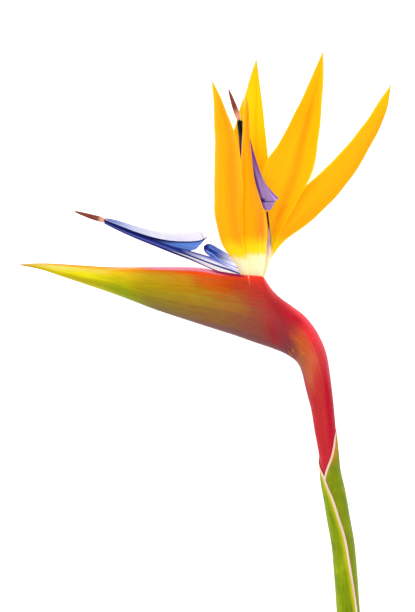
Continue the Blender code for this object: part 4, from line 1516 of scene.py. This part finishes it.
# %% The knob tree
def knob_tree():
    tree, given = new_tree(
        "knobs",
        ("From", "Float", 0.87),
        ("Density", "Float", 3e6),
        ("Size", "Float", 0.00008),
        ("Seed", "Int", 5),
    )
    on_stigma = tree.mark("along").math("GREATER_THAN", given["From"])
    points = tree.add(
        "GeometryNodeDistributePointsOnFaces",
        inputs={"Mesh": given["Geometry"], "Selection": on_stigma, "Density": given["Density"],
                "Seed": given["Seed"]},
    )
    knob = tree.add("GeometryNodeMeshIcoSphere", inputs={"Radius": given["Size"], "Subdivisions": 1})
    strewn = tree.add("GeometryNodeInstanceOnPoints", inputs={"Points": points, "Instance": knob})
    return end_tree(tree, strewn, given["Material"])


KNOBS = knob_tree()
print("knob tree nodes:", len(KNOBS.nodes))


# %% Both styles
STYLE_RADIUS = 0.45
STIGMA_RADIUS = 1.35
STYLE_STEPS = 12
STYLE_COLUMNS = 20
KNOB_DENSITY = 6e6
KNOB_SIZE = 0.09


def make_style(name, points, finish):
    path = through(points, STYLE_STEPS)
    t = np.linspace(0, 1, len(path))
    swell = smooth(STIGMA_FROM - 0.03, STIGMA_FROM + 0.02, t)
    taper = 1 - 0.8 * np.clip((t - STIGMA_FROM) / (1 - STIGMA_FROM), 0, 1) ** 2.8
    radii = (STYLE_RADIUS + (STIGMA_RADIUS - STYLE_RADIUS) * swell) * taper
    skin = rod_grid(path, radii, STYLE_COLUMNS)
    made = sheet_object(name + "_rod", [patch(skin, free=(False, False))])
    knobs = bpy.data.objects.new(name.replace("style", "stigma_knobs"), made.data.copy())
    scene.collection.objects.link(knobs)
    made.data.materials.append(finish)
    with_tree(
        knobs,
        KNOBS,
        From=STIGMA_FROM + 0.02,
        Density=KNOB_DENSITY,
        Size=KNOB_SIZE * MM,
        Seed=5,
        Material=finish,
    )
    hand_over(plain(knobs), "style")
    return hand_over(made, "style", name)


make_style(
    "floret_a_style",
    [(-0.8, -4.8, 4.3), (-2.6, 0.2, 4.3), (-8.5, 2.8, 4.3), (-17.9, 5.4, 4.5), (-29.3, 9.4, 4.9),
     (-37.3, 12.3, 5.1), (-46.4, 15.7, 5.3), (-56.4, 19.6, 5.6), (-65.5, 23.5, 5.9),
     (-73.3, 26.9, 6), (-80, 28.9, 6), (-88.3, 31.5, 6)],
    style_finish("stigma_brown", 0.87, 0.97),
)
make_style(
    "floret_b_style",
    [(1.6, -4.8, -4.5), (2.9, 2, -3.2), (3.8, 12, -0.9), (3.2, 25, 1.4), (2, 35, 2.4),
     (-0.5, 47, 3.6), (-2.9, 58.5, 5.3), (-4.6, 67.5, 6.8), (-5.9, 73.5, 7.7), (-6.8, 77.3, 8.3),
     (-8.9, 83.5, 8.5), (-11.7, 91.6, 8.8)],
    style_finish("stigma_russet", 0.9, 0.96),
)

# %% [markdown]
# ## The ovaries
# Inside the spathe each floret stands on its ovary, a smooth cream club on a short foot. It is a
# turned shape, so one profile is spun round an axis that runs up the floret.


# %% Two turned ovaries
def ovary_finish():
    made, tree, inputs = new_finish("ovary_cream", 0.45, glow=0.1)
    streaks = tree.grain(12, 3)
    dress(tree, inputs, tree.mix(streaks, paint(232, 222, 168), paint(246, 240, 206)), streaks, 0.1)
    return made


OVARY_PROFILE = (
    (FLORET_RADIUS - 0.3, 0.0), (FLORET_RADIUS, -2.0), (FLORET_RADIUS - 0.1, -6.0), (2.6, -11.5),
    (1.5, -16.0), (0.5, -17.0),
)
OVARY_STEPS = 6
OVARY_COLUMNS = 40


def make_ovary(name, base, finish):
    profile = through([(x, y, 0) for x, y in OVARY_PROFILE], OVARY_STEPS)
    path = np.array([(base.x, base.y - OVARY_GAP + y, base.z) for y in profile[:, 1]])
    skin = rod_grid(path, profile[:, 0], OVARY_COLUMNS)
    made = sheet_object(name + "_club", [patch(skin, free=(False, False))])
    made.data.materials.append(finish)
    return hand_over(made, "ovary", name)


cream = ovary_finish()
make_ovary("floret_a_ovary", BASE_A, cream)
make_ovary("floret_b_ovary", BASE_B, cream)
